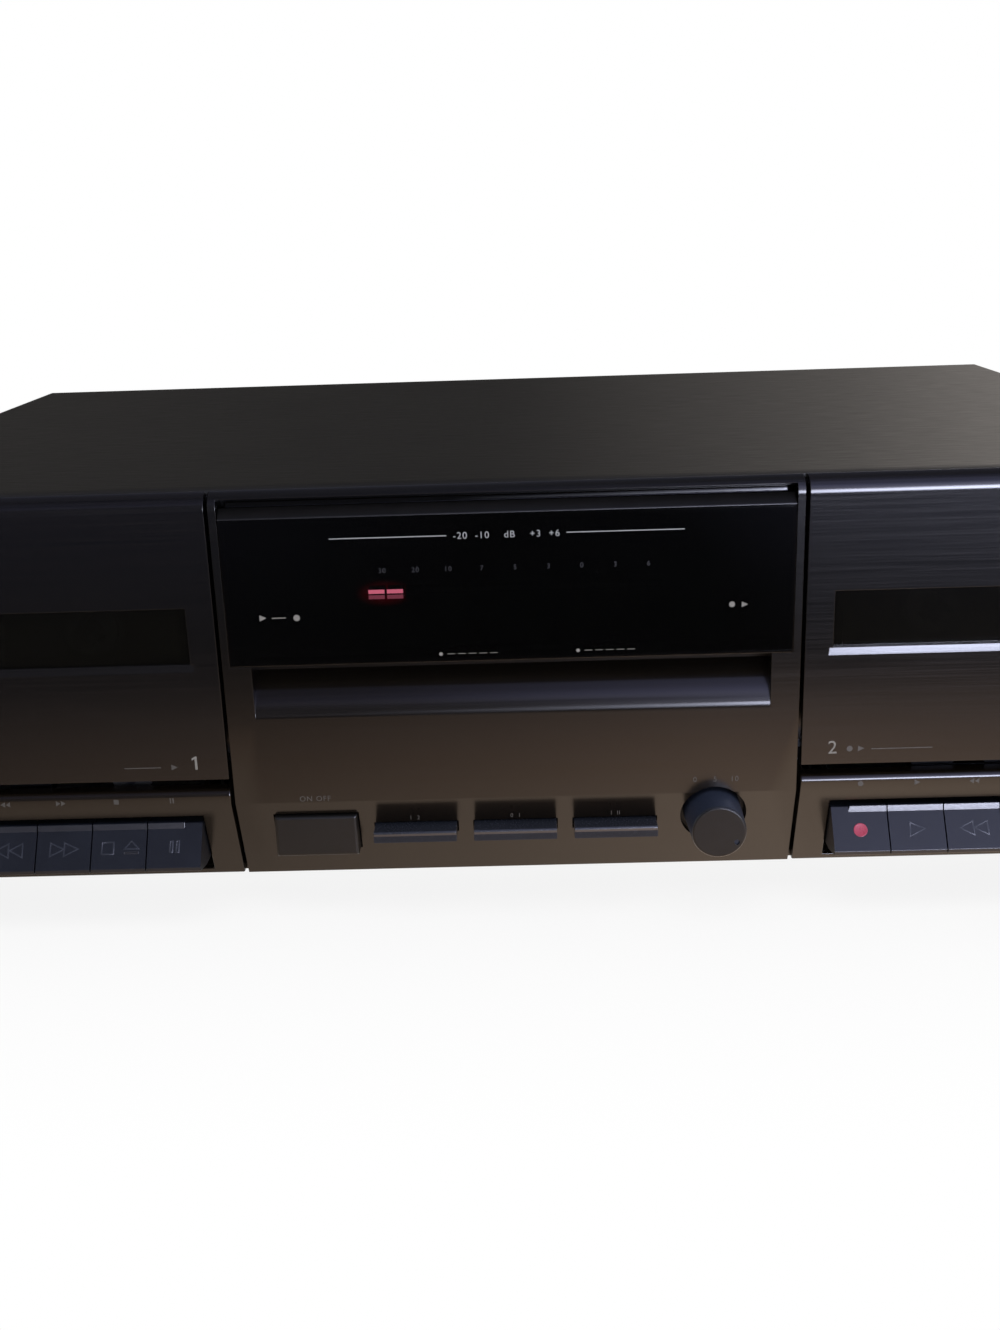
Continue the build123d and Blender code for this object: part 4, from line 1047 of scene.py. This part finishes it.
@dataclass
class Casework:
    """Cover, rear panel, base, feet and the screws that hold them."""

    bench: Bench
    screw: CrossScrew = CrossScrew()
    foot_radius: float = 11.0

    def build(self) -> None:
        """Make the case, its screws and its feet."""
        self.bench.soften("top_cover", Look.COVER, 0.25)
        self.bench.soften("rear_panel", Look.REAR, 0.15)
        self.bench.soften("base_pan", Look.ZINC, 0.2)
        self.bench.soften("mech_screws", Look.SCREW, 0.2)
        self.make_cover_screws()
        self.make_feet()

    def make_cover_screws(self) -> None:
        """Make the screws of the cover's sides and rear, heads outwards."""
        shape = bmesh.new()
        for low, high in self.bench.solids("cover_screws"):
            size, middle = high - low, (low + high) / 2
            axis = 0 if size.x > size.y else 1
            out = Vector((0.0, 0.0, 0.0))
            out[axis] = 1.0 if axis == 1 or middle.x > 0 else -1.0
            seat = middle.copy()
            seat[axis] = high[axis] if out[axis] > 0 else low[axis]
            self.screw.build(shape, seat - out * self.screw.rise * MM, out, size[axis] / MM - self.screw.rise)
        bmesh.ops.recalc_face_normals(shape, faces=list(shape.faces))
        self.bench.add("cover_screws_finished", shape, [Look.SCREW], "cover_screws", replaces=True)

    def make_feet(self) -> None:
        """Turn the feet: a flange, a tapered side, and a hollow sole."""
        shape = bmesh.new()
        r = self.foot_radius
        for low, high in self.bench.solids("feet"):
            rise = (high.z - low.z) / MM
            profile = [
                (0, rise), (r, rise), (r, rise - 1.5), (r - 0.5, rise - 1.9), (r - 0.9, 1.3), (r - 1.2, 0.5),
                (r - 1.9, 0.0), (r - 4.2, 0.0), (r - 4.6, 1.0), (3.2, 1.2), (3.0, 3.0), (0, 3.0),
            ]
            middle = (low + high) / 2
            turn(shape, profile, Vector((middle.x, middle.y, low.z)), UP, sides=48)
        bmesh.ops.recalc_face_normals(shape, faces=list(shape.faces))
        self.bench.add("feet_finished", shape, [Look.FOOT], "feet", replaces=True)


@dataclass
class Fascia:
    """The middle of the front with its printed marks."""

    bench: Bench
    front: Front
    edge: float = 0.5
    soft_depth: float = 5.5
    cove_edge: float = 0.9
    cove_lip: float = 55.2
    lip_margin: float = 2.0
    well_reach: float = 11.5
    well_depth: float = 0.2
    mark_size: float = 1.7
    knob_mark_height: float = 31.7
    knob_mark_step: float = 6.0
    power_mark: Point = (-60.1, 28.6)
    button_mark_height: float = 21.6
    button_mark_size: float = 1.3

    def build(self) -> None:
        """Make the fascia and print its marks."""
        plane = self.front.plane
        lip = self.front.bottom + self.cove_lip * MM
        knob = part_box("level_knob")
        axis = (knob[0] + knob[1]) / 2

        def on_lip(place: Vector) -> bool:
            """Say whether a place is on the lower lip of the finger cove."""
            return math.hypot(place.y - plane, place.z - lip) < 0.02 * MM

        def frame_lip(shape: Shape) -> None:
            """Cut the front level with the lip's ends and below it, so that its rounding runs clean."""
            end = max(vert.co.x for vert in shape.verts if on_lip(vert.co))
            level = (0, 0, lip - self.lip_margin * MM)
            for place, normal in (((end, 0, 0), RIGHT), ((-end, 0, 0), RIGHT), (level, UP)):
                whole = [*shape.verts, *shape.edges, *shape.faces]
                bmesh.ops.bisect_plane(shape, geom=whole, dist=WELD, plane_co=place, plane_no=normal)

        def in_well(place: Vector) -> bool:
            """Say whether a place is in the knob's well or on its rim."""
            return math.hypot(place.x - axis.x, place.z - axis.z) < self.well_reach * MM

        self.bench.soften(
            "fascia",
            Look.FRONT,
            self.edge,
            lambda place: place.y < plane + self.soft_depth * MM and not in_well(place),
            segments=3,
            inlays=[(Look.BLACK, lambda place: in_well(place) and place.y > plane + self.well_depth * MM)],
            special=[(self.cove_edge, on_lip)],
            cut=frame_lip,
        )
        marks = self.front.prints()
        marks.words("ON OFF", self.power_mark, self.mark_size)
        for step, figure in ((-1, "0"), (0, "5"), (1, "10")):
            across = axis.x / MM + step * self.knob_mark_step
            marks.words(figure, (across, self.knob_mark_height), self.mark_size)
        for button, text in (("speed_button", "1  2"), ("noise_button", "0  1"), ("tape_button", "I  II")):
            low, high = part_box(button)
            marks.words(text, ((low.x + high.x) / 2 / MM, self.button_mark_height), self.button_mark_size)
        self.bench.add("fascia_marks", marks.closed(), [Look.DIM_INK], "fascia")


@dataclass
class MeterWindow:
    """The black window with its light bars and printed scale."""

    bench: Bench
    front: Front
    bevel_span: Point = (114.5, 117.3)
    edge: float = 0.35
    title_height: float = 108.2
    title_size: float = 2.0
    title_gap: float = 17.1
    title_end: float = 50.5
    line: float = 0.28
    scale_height: float = 98.6
    scale_size: float = 1.5
    figures: tuple[str, ...] = ("30", "20", "10", "7", "5", "3", "0", "3", "6")
    dots: tuple[float, ...] = (-20.1, 19.8)
    dot_height: float = 73.1
    dot_radius: float = 0.55
    dash: Point = (2.2, 0.18)
    dashes: int = 5
    dash_start: float = 3.0
    dash_step: float = 3.1

    def build(self) -> None:
        """Make the window, dress the bars behind it and print its face."""
        low, high = (self.front.bottom + height * MM for height in self.bevel_span)
        edge = (Look.WINDOW_EDGE, lambda place: low < place.z < high)
        self.bench.soften("display_window", Look.WINDOW, self.edge, inlays=[edge])
        self.bench.dress(Look.METER, "meter_segments")
        self.bench.dress(Look.METER_BOARD, "meter_board")
        marks = self.front.prints()
        for hand in (-1, 1):
            middle = hand * (self.title_gap + self.title_end) / 2
            marks.outline(bar(self.title_end - self.title_gap, self.line), (middle, self.title_height))
        marks.words("-20  -10    dB    +3  +6", (0, self.title_height), self.title_size)
        self.bench.add("window_marks", marks.closed(), [Look.WINDOW_INK], "display_window")
        legends = self.front.prints()
        self.print_legends(legends)
        self.bench.add("window_legends", legends.closed(), [Look.INK], "display_window")
        scale = self.front.prints()
        start, end = (corner.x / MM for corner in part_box("meter_segments"))
        for number, figure in enumerate(self.figures):
            across = start + (end - start) * (number + 0.5) / len(self.figures)
            scale.words(figure, (across, self.scale_height), self.scale_size)
        self.bench.add("window_scale", scale.closed(), [Look.SCALE_INK], "display_window")

    def print_legends(self, marks: Prints) -> None:
        """Print the legends at both sides, and the two dots with their dashes below.

        Args:
            marks: The prints to add them to.
        """
        for outline, middle in WINDOW_LEGENDS:
            marks.outline(outline, middle)
        for across in self.dots:
            marks.outline(disc(self.dot_radius), (across, self.dot_height))
            for number in range(self.dashes):
                place = across + self.dash_start + self.dash_step * number
                marks.outline(bar(*self.dash), (place, self.dot_height))


@dataclass
class Door:
    """One cassette door with its pane, holder and deck number."""

    bench: Bench
    front: Front
    side: str
    mark_across: float
    mark_height: float = 41.0
    mark_size: float = 4.2
    sill_edge: float = 0.3
    sill_reach: Triple = (-6.0, 1.0, 0.3)

    def build(self) -> None:
        """Make the door and print its number."""
        bench, side, plane = self.bench, self.side, self.front.plane
        pane_low, pane_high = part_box(f"door_window_{side}")

        def sill(place: Vector) -> bool:
            """Say whether a place is on the front edge of the sill below the pane."""
            low, high, deep = (side * MM for side in self.sill_reach)
            under = low < place.z - pane_low.z < high
            return place.y < plane + deep and under and pane_low.x < place.x < pane_high.x

        bench.soften(f"door_panel_{side}", Look.DOOR, 0.5, segments=3, special=[(self.sill_edge, sill)])
        bench.dress(Look.PANE, f"door_window_{side}")
        bench.dress(Look.HOLDER, f"cassette_holder_{side}")
        marks, dim = self.front.prints(), self.front.prints()
        if side == "a":
            marks.outline(FIGURE_ONE, (self.mark_across, self.mark_height), self.mark_size)
        else:
            marks.words("2", (self.mark_across, self.mark_height), self.mark_size)
        for outline, middle in DOOR_LEGENDS[side]:
            dim.outline(outline, middle)
        bench.add(f"door_number_{side}", marks.closed(), [Look.INK], f"door_panel_{side}")
        bench.add(f"door_legend_{side}", dim.closed(), [Look.DIM_INK], f"door_panel_{side}")


@dataclass
class KeyBank:
    """The panel under a door and the piano keys in its opening."""

    bench: Bench
    front: Front
    side: str
    label_height: float = 29.0
    label_size: float = 1.7
    face_top: Point = (1.5, 21.05)
    face_foot: Point = (-6.5, 9.8)
    strip_depth: float = 0.75
    strip_span: Point = (19.5, 21.4)
    symbol_rise: float = 6.5
    symbol_size: float = 4.2
    ridge_rise: float = 0.1
    dish_rise: float = 0.16
    key_edge: float = 0.22
    plain_foot: float = 1.5
    rounded_share: float = 0.9

    def build(self) -> None:
        """Make the panel and each key with its symbol."""
        bench, side = self.bench, self.side
        bench.soften(f"key_panel_{side}", Look.FRONT, 0.5, segments=3)
        labels = self.front.prints()
        (top_depth, top_height), (depth, height) = self.face_top, self.face_foot
        up = Vector((0, top_depth - depth, top_height - height)).normalized()
        foot_y, foot_z = self.front.plane + depth * MM, self.front.bottom + height * MM
        strip_y = self.front.plane + self.strip_depth * MM
        strip_low, strip_high = (self.front.bottom + rise * MM for rise in self.strip_span)
        # The strip's lighter finish is a painted highlight
        strip = (Look.KEY_STRIP, lambda place: place.y < strip_y and strip_low < place.z < strip_high)
        for sign in KEYS[side]:
            node = f"key_{side}_{sign.value}"
            low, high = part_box(node)
            foot, middle = low.z + self.plain_foot * MM, (low.x + high.x) / 2
            reach = (high.x - low.x) * self.rounded_share / 2

            def rounded(place: Vector) -> bool:
                """Say whether a place is off the key's ends and its foot."""
                return place.z > foot and abs(place.x - middle) < reach

            bench.soften(node, Look.KEY, self.key_edge, rounded, inlays=[strip])
            for outline in FLAT_SIGNS[sign]:
                labels.outline(outline, (middle / MM, self.label_height), self.label_size)
            marks = Prints(Vector((middle, foot_y, foot_z)), RIGHT, up)
            for width, outline in RAISED_SIGNS[sign]:
                marks.ridge(outline, (0, self.symbol_rise), self.symbol_size, width, self.ridge_rise)
            if sign is Sign.RECORD:
                marks.dish((0, self.symbol_rise), self.symbol_size / 2, self.dish_rise)
            # The symbols' lighter finish is a painted highlight; the record dimple is red enamel
            look = Look.RED_INK if sign is Sign.RECORD else Look.KEY_MARK
            bench.add(f"{node}_symbol", marks.closed(), [look], node)
        bench.add(f"key_labels_{side}", labels.closed(), [Look.DIM_INK], f"key_panel_{side}")


@dataclass
class Controls:
    """The power button, the three small buttons and the level knob."""

    bench: Bench
    slack: float = 0.2
    lean_drop: float = 0.8
    lean_angle: float = 22.0
    lean_reach: float = 0.85
    rim: float = 0.9
    flank_depth: float = 0.4

    def build(self) -> None:
        """Make the buttons and the knob, and dress what they work."""
        self.bench.soften("power_button", Look.POWER, 0.45, segments=3)
        for name in ("speed_button", "noise_button", "tape_button"):
            self.make_button(name)
        self.make_knob()
        self.bench.dress(Look.BLACK, "button_switches")
        self.bench.dress(Look.ZINC, "level_potentiometer")

    def make_button(self, name: str) -> None:
        """Make a small button, with the strip under its front top edge leaning back.

        Args:
            name: The button's node.
        """
        front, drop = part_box(name)[0].y, self.lean_drop * MM
        near = front + self.slack * MM
        top = max(v.co.z for v in self.bench.nodes[name].data.vertices if v.co.y < near)

        def lean_edge(shape: Shape) -> None:
            """Lean the strip back, so that it mirrors the window."""
            whole = [*shape.verts, *shape.edges, *shape.faces]
            made = bmesh.ops.bisect_plane(shape, geom=whole, plane_co=(0, 0, top - drop), plane_no=UP)
            foot = min(item.co.y for item in made["geom_cut"] if isinstance(item, Corner))
            for vert in shape.verts:
                if vert.co.y < near and vert.co.z > top - self.slack / 2 * MM:
                    vert.co.y = foot + drop * math.tan(math.radians(self.lean_angle))

        def by_edge(place: Vector) -> bool:
            """Say whether a place is by the front top edge."""
            return math.hypot(place.y - front, place.z - top) < self.lean_reach * MM

        self.bench.soften(name, Look.BUTTON, 0.25, inlays=[(Look.BUTTON_EDGE, by_edge)], cut=lean_edge)

    def make_knob(self) -> None:
        """Make the knob, with a rounded rim between its face and its flank."""
        low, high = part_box("level_knob")
        middle, face = (low + high) / 2, low.y
        flank = face + self.flank_depth * MM
        inner = (high.x - low.x) / 2 - self.rim * MM

        def on_rim(place: Vector) -> bool:
            """Say whether a place is on the rounded rim of the knob's face."""
            across = math.hypot(place.x - middle.x, place.z - middle.z)
            return across > inner and place.y < face + self.rim * MM

        self.bench.soften(
            "level_knob",
            Look.KNOB,
            0.35,
            segments=4,
            # The rim and the flank take lighter bluish finishes: painted sheen on the knob
            inlays=[(Look.KNOB_RIM, on_rim), (Look.KNOB_FLANK, lambda place: place.y > flank)],
            special=[(self.rim, lambda place: on_rim(place) and place.y < face + self.slack / 2 * MM)],
        )


@dataclass
class TapeDrive:
    """The running gear of one deck."""

    bench: Bench
    side: str
    head_height: float = 1.0

    def build(self) -> None:
        """Dress the gear of this deck."""
        bench, side = self.bench, self.side
        bench.soften(f"mech_chassis_{side}", Look.CHASSIS, 0.15)
        bench.soften(f"head_bridge_{side}", Look.CHASSIS, 0.15)
        bench.dress(Look.SPINDLE, f"reel_spindle_{side}_left", f"reel_spindle_{side}_right")
        bench.dress(Look.STEEL, f"flywheel_{side}")
        bench.dress(Look.BRASS, f"motor_pulley_{side}")
        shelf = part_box(f"tape_heads_{side}")[1].z - self.head_height * MM
        below = (Look.CHASSIS, lambda place: place.z < shelf)
        bench.soften(f"tape_heads_{side}", Look.CHROME, 0.3, inlays=[below])
        bench.dress(Look.RUBBER, f"pinch_roller_{side}")


@dataclass
class Insides:
    """Boards, transformer, motors, belts and sockets."""

    bench: Bench
    pin_offset: float = 4.3
    pin_reach: float = 1.3
    shell_length: float = 12.0
    shell_wall: float = 0.55
    insulator_sink: float = 0.6

    def build(self) -> None:
        """Dress the pieces inside and at the back."""
        self.bench.dress(Look.BOARD, "main_board")
        self.bench.dress(Look.IRON, "transformer")
        self.bench.dress(Look.MOTOR, "motors")
        self.bench.dress(Look.ZINC, "motor_brackets")
        self.bench.dress(Look.RUBBER, "drive_belts")
        self.bench.dress(Look.STEEL, "key_rods")
        self.make_inlet()
        self.make_sockets()

    def make_inlet(self) -> None:
        """Make the mains inlet, with nickel pins in its black mouth."""
        low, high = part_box("mains_inlet")
        middle = (low + high) / 2

        def on_pin(place: Vector) -> bool:
            """Say whether a place is on one of the two pins."""
            across = abs(place.x - middle.x) - self.pin_offset * MM
            return math.hypot(across, place.z - middle.z) < self.pin_reach * MM

        self.bench.soften("mains_inlet", Look.BLACK, 0.3, inlays=[(Look.JACK, on_pin)])

    def make_sockets(self) -> None:
        """Make the sockets: nickel shells round sunk insulators, red above and white below."""
        looks = [Look.JACK, Look.RED_NYLON, Look.WHITE_NYLON, Look.BLACK]
        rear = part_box("rca_jacks")[1].y
        shape = self.bench.copy("rca_jacks")
        ends = [face for face in shape.faces if face.calc_center_median().y > rear - 0.05 * MM]
        heights = [face.calc_center_median().z for face in ends]
        split = (min(heights) + max(heights)) / 2
        for face in shape.faces:
            inside = face.calc_center_median().y < rear - self.shell_length * MM
            face.material_index = looks.index(Look.BLACK if inside else Look.JACK)
        sink = {"thickness": self.shell_wall * MM, "depth": -self.insulator_sink * MM}
        bmesh.ops.inset_region(shape, faces=ends, use_boundary=True, **sink)
        for face in ends:
            high = face.calc_center_median().z > split
            face.material_index = looks.index(Look.RED_NYLON if high else Look.WHITE_NYLON)
        self.bench.add("rca_jacks_finished", shape, looks, "rca_jacks", replaces=True)


@dataclass(frozen=True)
class Card:
    """A flat card that only mirrored rays see, lit by stops along it and by shares across it.

    Black gloss shows little but what it mirrors. The cards stand for the dark room round a
    deck on a warm tabletop, with one bright window in front of its right end. corner is one
    corner, across and along are its sides, all in metres, and glow is its strongest light.
    """

    name: str
    corner: Triple
    across: Triple
    along: Triple
    glow: float
    stops: Stops
    shares: Stops

    def build(self) -> None:
        """Hang the card."""
        corner, across, along = Vector(self.corner), Vector(self.across), Vector(self.along)
        corners = [corner, corner + across, corner + across + along, corner + along]
        card = sheet(self.name, corners, self.material(corner, across, along))
        card.visible_camera = card.visible_diffuse = card.visible_shadow = False
        card.visible_transmission = card.visible_volume_scatter = False

    def material(self, corner: Vector, across: Vector, along: Vector) -> bpy.types.Material:
        """Make the card's light: its stops along it, dimmed by its shares across it.

        Args:
            corner: The card's corner.
            across: The side that the shares run along.
            along: The side that the stops run along.

        Returns:
            The material.
        """
        made = bpy.data.materials.new(self.name)
        tree = new_tree(made)
        place = add_node(tree, "TexCoord").outputs["Object"]
        colours = []
        for side, stops in ((along, self.stops), (across, self.shares)):
            way = side / side.length_squared
            share = add_node(tree, "VectorMath", {"operation": "DOT_PRODUCT", 0: place, 1: way})
            share = add_node(tree, "Math", {"operation": "SUBTRACT", 0: share, 1: corner.dot(way)})
            colours.append(add_node(tree, "ValToRGB", {"stops": stops, "Fac": share}))
        product = {"data_type": "RGBA", "blend_type": "MULTIPLY", 0: 1.0, 6: colours[0], 7: colours[1]}
        light = add_node(tree, "Emission", {"Strength": self.glow, "Color": add_node(tree, "Mix", product)})
        add_node(tree, "OutputMaterial", {"Surface": light})
        return made


# The tabletop in two stretches, the wall, the window with the glow over it, the ceiling, a dark flag
# that keeps the window's glare off the cover, and the light behind
CARDS = (
    Card(
        "near_table_card", (-1.5, -0.124, 0.0008), (3.0, 0, 0), (0, -0.216, 0), 2.75,
        ((0.0, "#d8c0ac"), (0.33, "#d8bda6"), (0.57, "#bfa089"), (1.0, "#82736c")),
        (
            (0.0, "#7a7a7a"), (0.42, "#868686"), (0.47, "#b0b0b0"), (0.5, "#d3d3d3"), (0.527, "#f7f7f7"),
            (0.55, "#f0f0f0"), (0.6, "#dcdcdc"), (1.0, "#d4d4d4"),
        ),
    ),
    Card(
        "far_table_card", (-1.5, -0.340, 0.0008), (3.0, 0, 0), (0, -2.86, 0), 6.0,
        (
            (0.0, "#474244"), (0.04, "#34333b"), (0.1, "#424251"), (0.2, "#4b4d60"), (0.7, "#535569"),
            (1.0, "#dadcff"),
        ),
        (
            (0.0, "#747474"), (0.42, "#646464"), (0.49, "#303030"), (0.54, "#444444"), (0.57, "#989898"),
            (0.62, "#b4b4b4"),
        ),
    ),
    Card(
        "wall_card", (-3.5, -3.2, 0.0), (7.0, 0, 0), (0, 0, 2.3), 0.2,
        ((0.0, "#c9c6d8"), (1.0, "#c0c4e4")), ((0.0, "#c8c8c8"), (1.0, "#ffffff")),
    ),
    Card(
        "window_card", (-0.2, -3.1, 0.0), (3.2, 0, 0), (0, 0, 0.95), 32.0,
        ((0.0, "#dfe4ff"), (0.9, "#e4e8ff"), (1.0, "#6d7090")),
        (
            (0.0, "#000000"), (0.06, "#2a2a2a"), (0.125, "#424242"), (0.21, "#767676"), (0.25, "#afafaf"),
            (0.27, "#f4f4f4"), (0.3, "#ffffff"),
        ),
    ),
    Card(
        "glow_card", (0.1, -3.15, 0.95), (3.2, 0, 0), (0, 0, 1.3), 6.5,
        ((0.0, "#f4f6ff"), (0.16, "#c6c9ea"), (0.4, "#a6a8c8"), (1.0, "#878aad")),
        ((0.0, "#202020"), (0.15, "#909090"), (0.3, "#ffffff"), (1.0, "#ffffff")),
    ),
    Card(
        "ceiling_card", (-3.5, 0.6, 2.25), (7.0, 0, 0), (0, -3.85, 0), 2.2,
        (
            (0.0, "#3c3e50"), (0.3, "#50536c"), (0.44, "#8a8eb4"), (0.6, "#8286ac"), (0.8, "#b0b4e8"),
            (1.0, "#dadcff"),
        ),
        ((0.0, "#646464"), (0.45, "#747474"), (0.58, "#ffffff"), (1.0, "#ffffff")),
    ),
    Card(
        "cover_flag", (-1.0, -0.12, 0.1335), (2.0, 0, 0), (0, 0, 0.14), 0.12,
        ((0.0, "#c0c4e4"), (1.0, "#c0c4e4")), ((0.0, "#ffffff"), (1.0, "#ffffff")),
    ),
    Card(
        "rear_card", (-3.5, 1.6, 0.0), (7.0, 0, 0), (0, 0, 2.3), 1.5,
        ((0.0, "#fff6ee"), (1.0, "#fff6ee")),
        (
            (0.0, "#454545"), (0.4, "#3e3e3e"), (0.5, "#262626"), (0.57, "#808080"), (0.62, "#d8d8d8"),
            (0.7, "#ffffff"),
        ),
    ),
)


@dataclass(frozen=True)
class Lamp:
    """A soft lamp: its name, where it hangs and points, its size in metres and its watts."""

    name: str
    place: Triple
    target: Triple
    size: tuple[float, float]
    power: float

    def build(self) -> None:
        """Hang the lamp, unseen by mirrored rays."""
        data = bpy.data.lights.new(self.name, "AREA")
        data.shape = "RECTANGLE"
        data.size, data.size_y = self.size
        data.energy = self.power
        lamp = hang(self.name, data)
        lamp.visible_glossy = False
        lamp.location = self.place
        lamp.rotation_mode = "QUATERNION"
        lamp.rotation_quaternion = (Vector(self.target) - Vector(self.place)).to_track_quat("-Z", "Y")


LAMPS = (
    Lamp("top_lamp", (0.1, -0.3, 2.5), (0.05, 0, 0), (2.4, 2.0), 30.0),
    Lamp("front_lamp", (0.3, -3.4, 1.4), (0, 0, 0.05), (2.6, 1.6), 34.0),
    Lamp("right_lamp", (2.2, -0.6, 1.1), (0, -0.05, 0.05), (1.2, 1.0), 12.0),
    Lamp("rear_lamp", (-0.4, 2.4, 1.8), (0, 0, 0.1), (2.0, 1.2), 22.0),
)


@dataclass
class Studio:
    """Pale floor, soft lamps, reflection cards and the camera at the photograph's angle."""

    floor_side: float = 24.0
    deck_half: Triple = (0.217, 0.144, 0.0)
    shadow_reach: float = 0.12
    shadow_share: float = 0.86
    room_light: float = 0.5
    camera_place: Triple = (5.7132, -525.8554, 204.7456)
    camera_right: Triple = (0.99941165, 0.01203591, -0.03211672)
    camera_up: Triple = (0.02692099, 0.30491508, 0.95199898)
    camera_lens: float = 38.22

    def build(self) -> None:
        """Set the stage."""
        self.make_floor()
        self.make_world()
        for item in (*CARDS, *LAMPS):
            item.build()
        self.make_camera()
        bpy.context.scene.view_settings.view_transform = "Standard"

    @staticmethod
    def seen(tree: Tree) -> Node:
        """Say 1 for rays that show the background: the camera's, mirrored and transmitted ones.

        Args:
            tree: The node tree of the background.

        Returns:
            The node that carries the 1 or 0.
        """
        path = add_node(tree, "LightPath").outputs
        either = path["Is Camera Ray"]
        for ray in ("Is Glossy Ray", "Is Transmission Ray"):
            either = add_node(tree, "Math", {"operation": "MAXIMUM", 0: either, 1: path[ray]})
        return either

    def make_floor(self) -> None:
        """Lay a pale floor that keeps the deck's soft shadow and runs out into white."""
        material = bpy.data.materials.new("pale_floor")
        tree = new_tree(material)
        matt = add_node(tree, "BsdfDiffuse", {"Color": "#f6f6f5"})
        white = add_node(tree, "Emission", {"Color": "#ffffff", "Strength": 1.0})
        away = add_node(tree, "TexCoord").outputs["Object"]
        steps = (("ABSOLUTE", (0.0, 0.0, 0.0)), ("SUBTRACT", self.deck_half), ("MAXIMUM", (0.0, 0.0, 0.0)))
        for step, value in (*steps, ("LENGTH", (0.0, 0.0, 0.0))):
            away = add_node(tree, "VectorMath", {"operation": step, 0: away, 1: value})
        fade = {"From Max": self.shadow_reach, "To Min": self.shadow_share}
        away = add_node(tree, "MapRange", {"interpolation_type": "SMOOTHSTEP", **fade, "Value": away})
        share = add_node(tree, "Math", {"operation": "MULTIPLY", 0: away, 1: self.seen(tree)})
        mixed = add_node(tree, "MixShader", {0: share, 1: matt, 2: white})
        add_node(tree, "OutputMaterial", {"Surface": mixed})
        corners = [(x, y, 0) for x, y in bar(self.floor_side, self.floor_side)]
        floor = sheet("floor", corners, material)

    def make_world(self) -> None:
        """Light the room evenly, and show it white where it is seen."""
        world = bpy.data.worlds.new("studio")
        bpy.context.scene.world = world
        tree = new_tree(world)
        room = add_node(tree, "Background", {"Color": "#d4d6da", "Strength": self.room_light})
        white = add_node(tree, "Background", {"Color": "#ffffff", "Strength": 1.0})
        mixed = add_node(tree, "MixShader", {0: self.seen(tree), 1: room, 2: white})
        add_node(tree, "OutputWorld", {"Surface": mixed})

    def make_camera(self) -> None:
        """Set the camera at the photograph's viewing angle."""
        data = bpy.data.cameras.new("camera")
        data.sensor_width = 36.0
        data.lens = self.camera_lens
        data.clip_start, data.clip_end = 0.01, 50.0
        camera = hang("camera", data)
        right, up = Vector(self.camera_right), Vector(self.camera_up)
        aim = Matrix((right, up, right.cross(up))).transposed().to_4x4()
        camera.matrix_world = Matrix.Translation(Vector(self.camera_place) * MM) @ aim
        bpy.context.scene.camera = camera


def main() -> None:
    """Build every sub-assembly round the frame."""
    logging.basicConfig(level=logging.INFO, format="%(name)s: %(message)s")
    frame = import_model()
    bench = Bench.from_frame(frame)
    front = Front()
    assemblies = [
        Studio(),
        Casework(bench),
        Fascia(bench, front),
        MeterWindow(bench, front),
        Door(bench, front, "a", mark_across=-95.3),
        Door(bench, front, "b", mark_across=94.7),
        KeyBank(bench, front, "a"),
        KeyBank(bench, front, "b"),
        Controls(bench),
        TapeDrive(bench, "a"),
        TapeDrive(bench, "b"),
        Insides(bench),
    ]
    for assembly in assemblies:
        assembly.build()


if __name__ == "__main__":
    main()
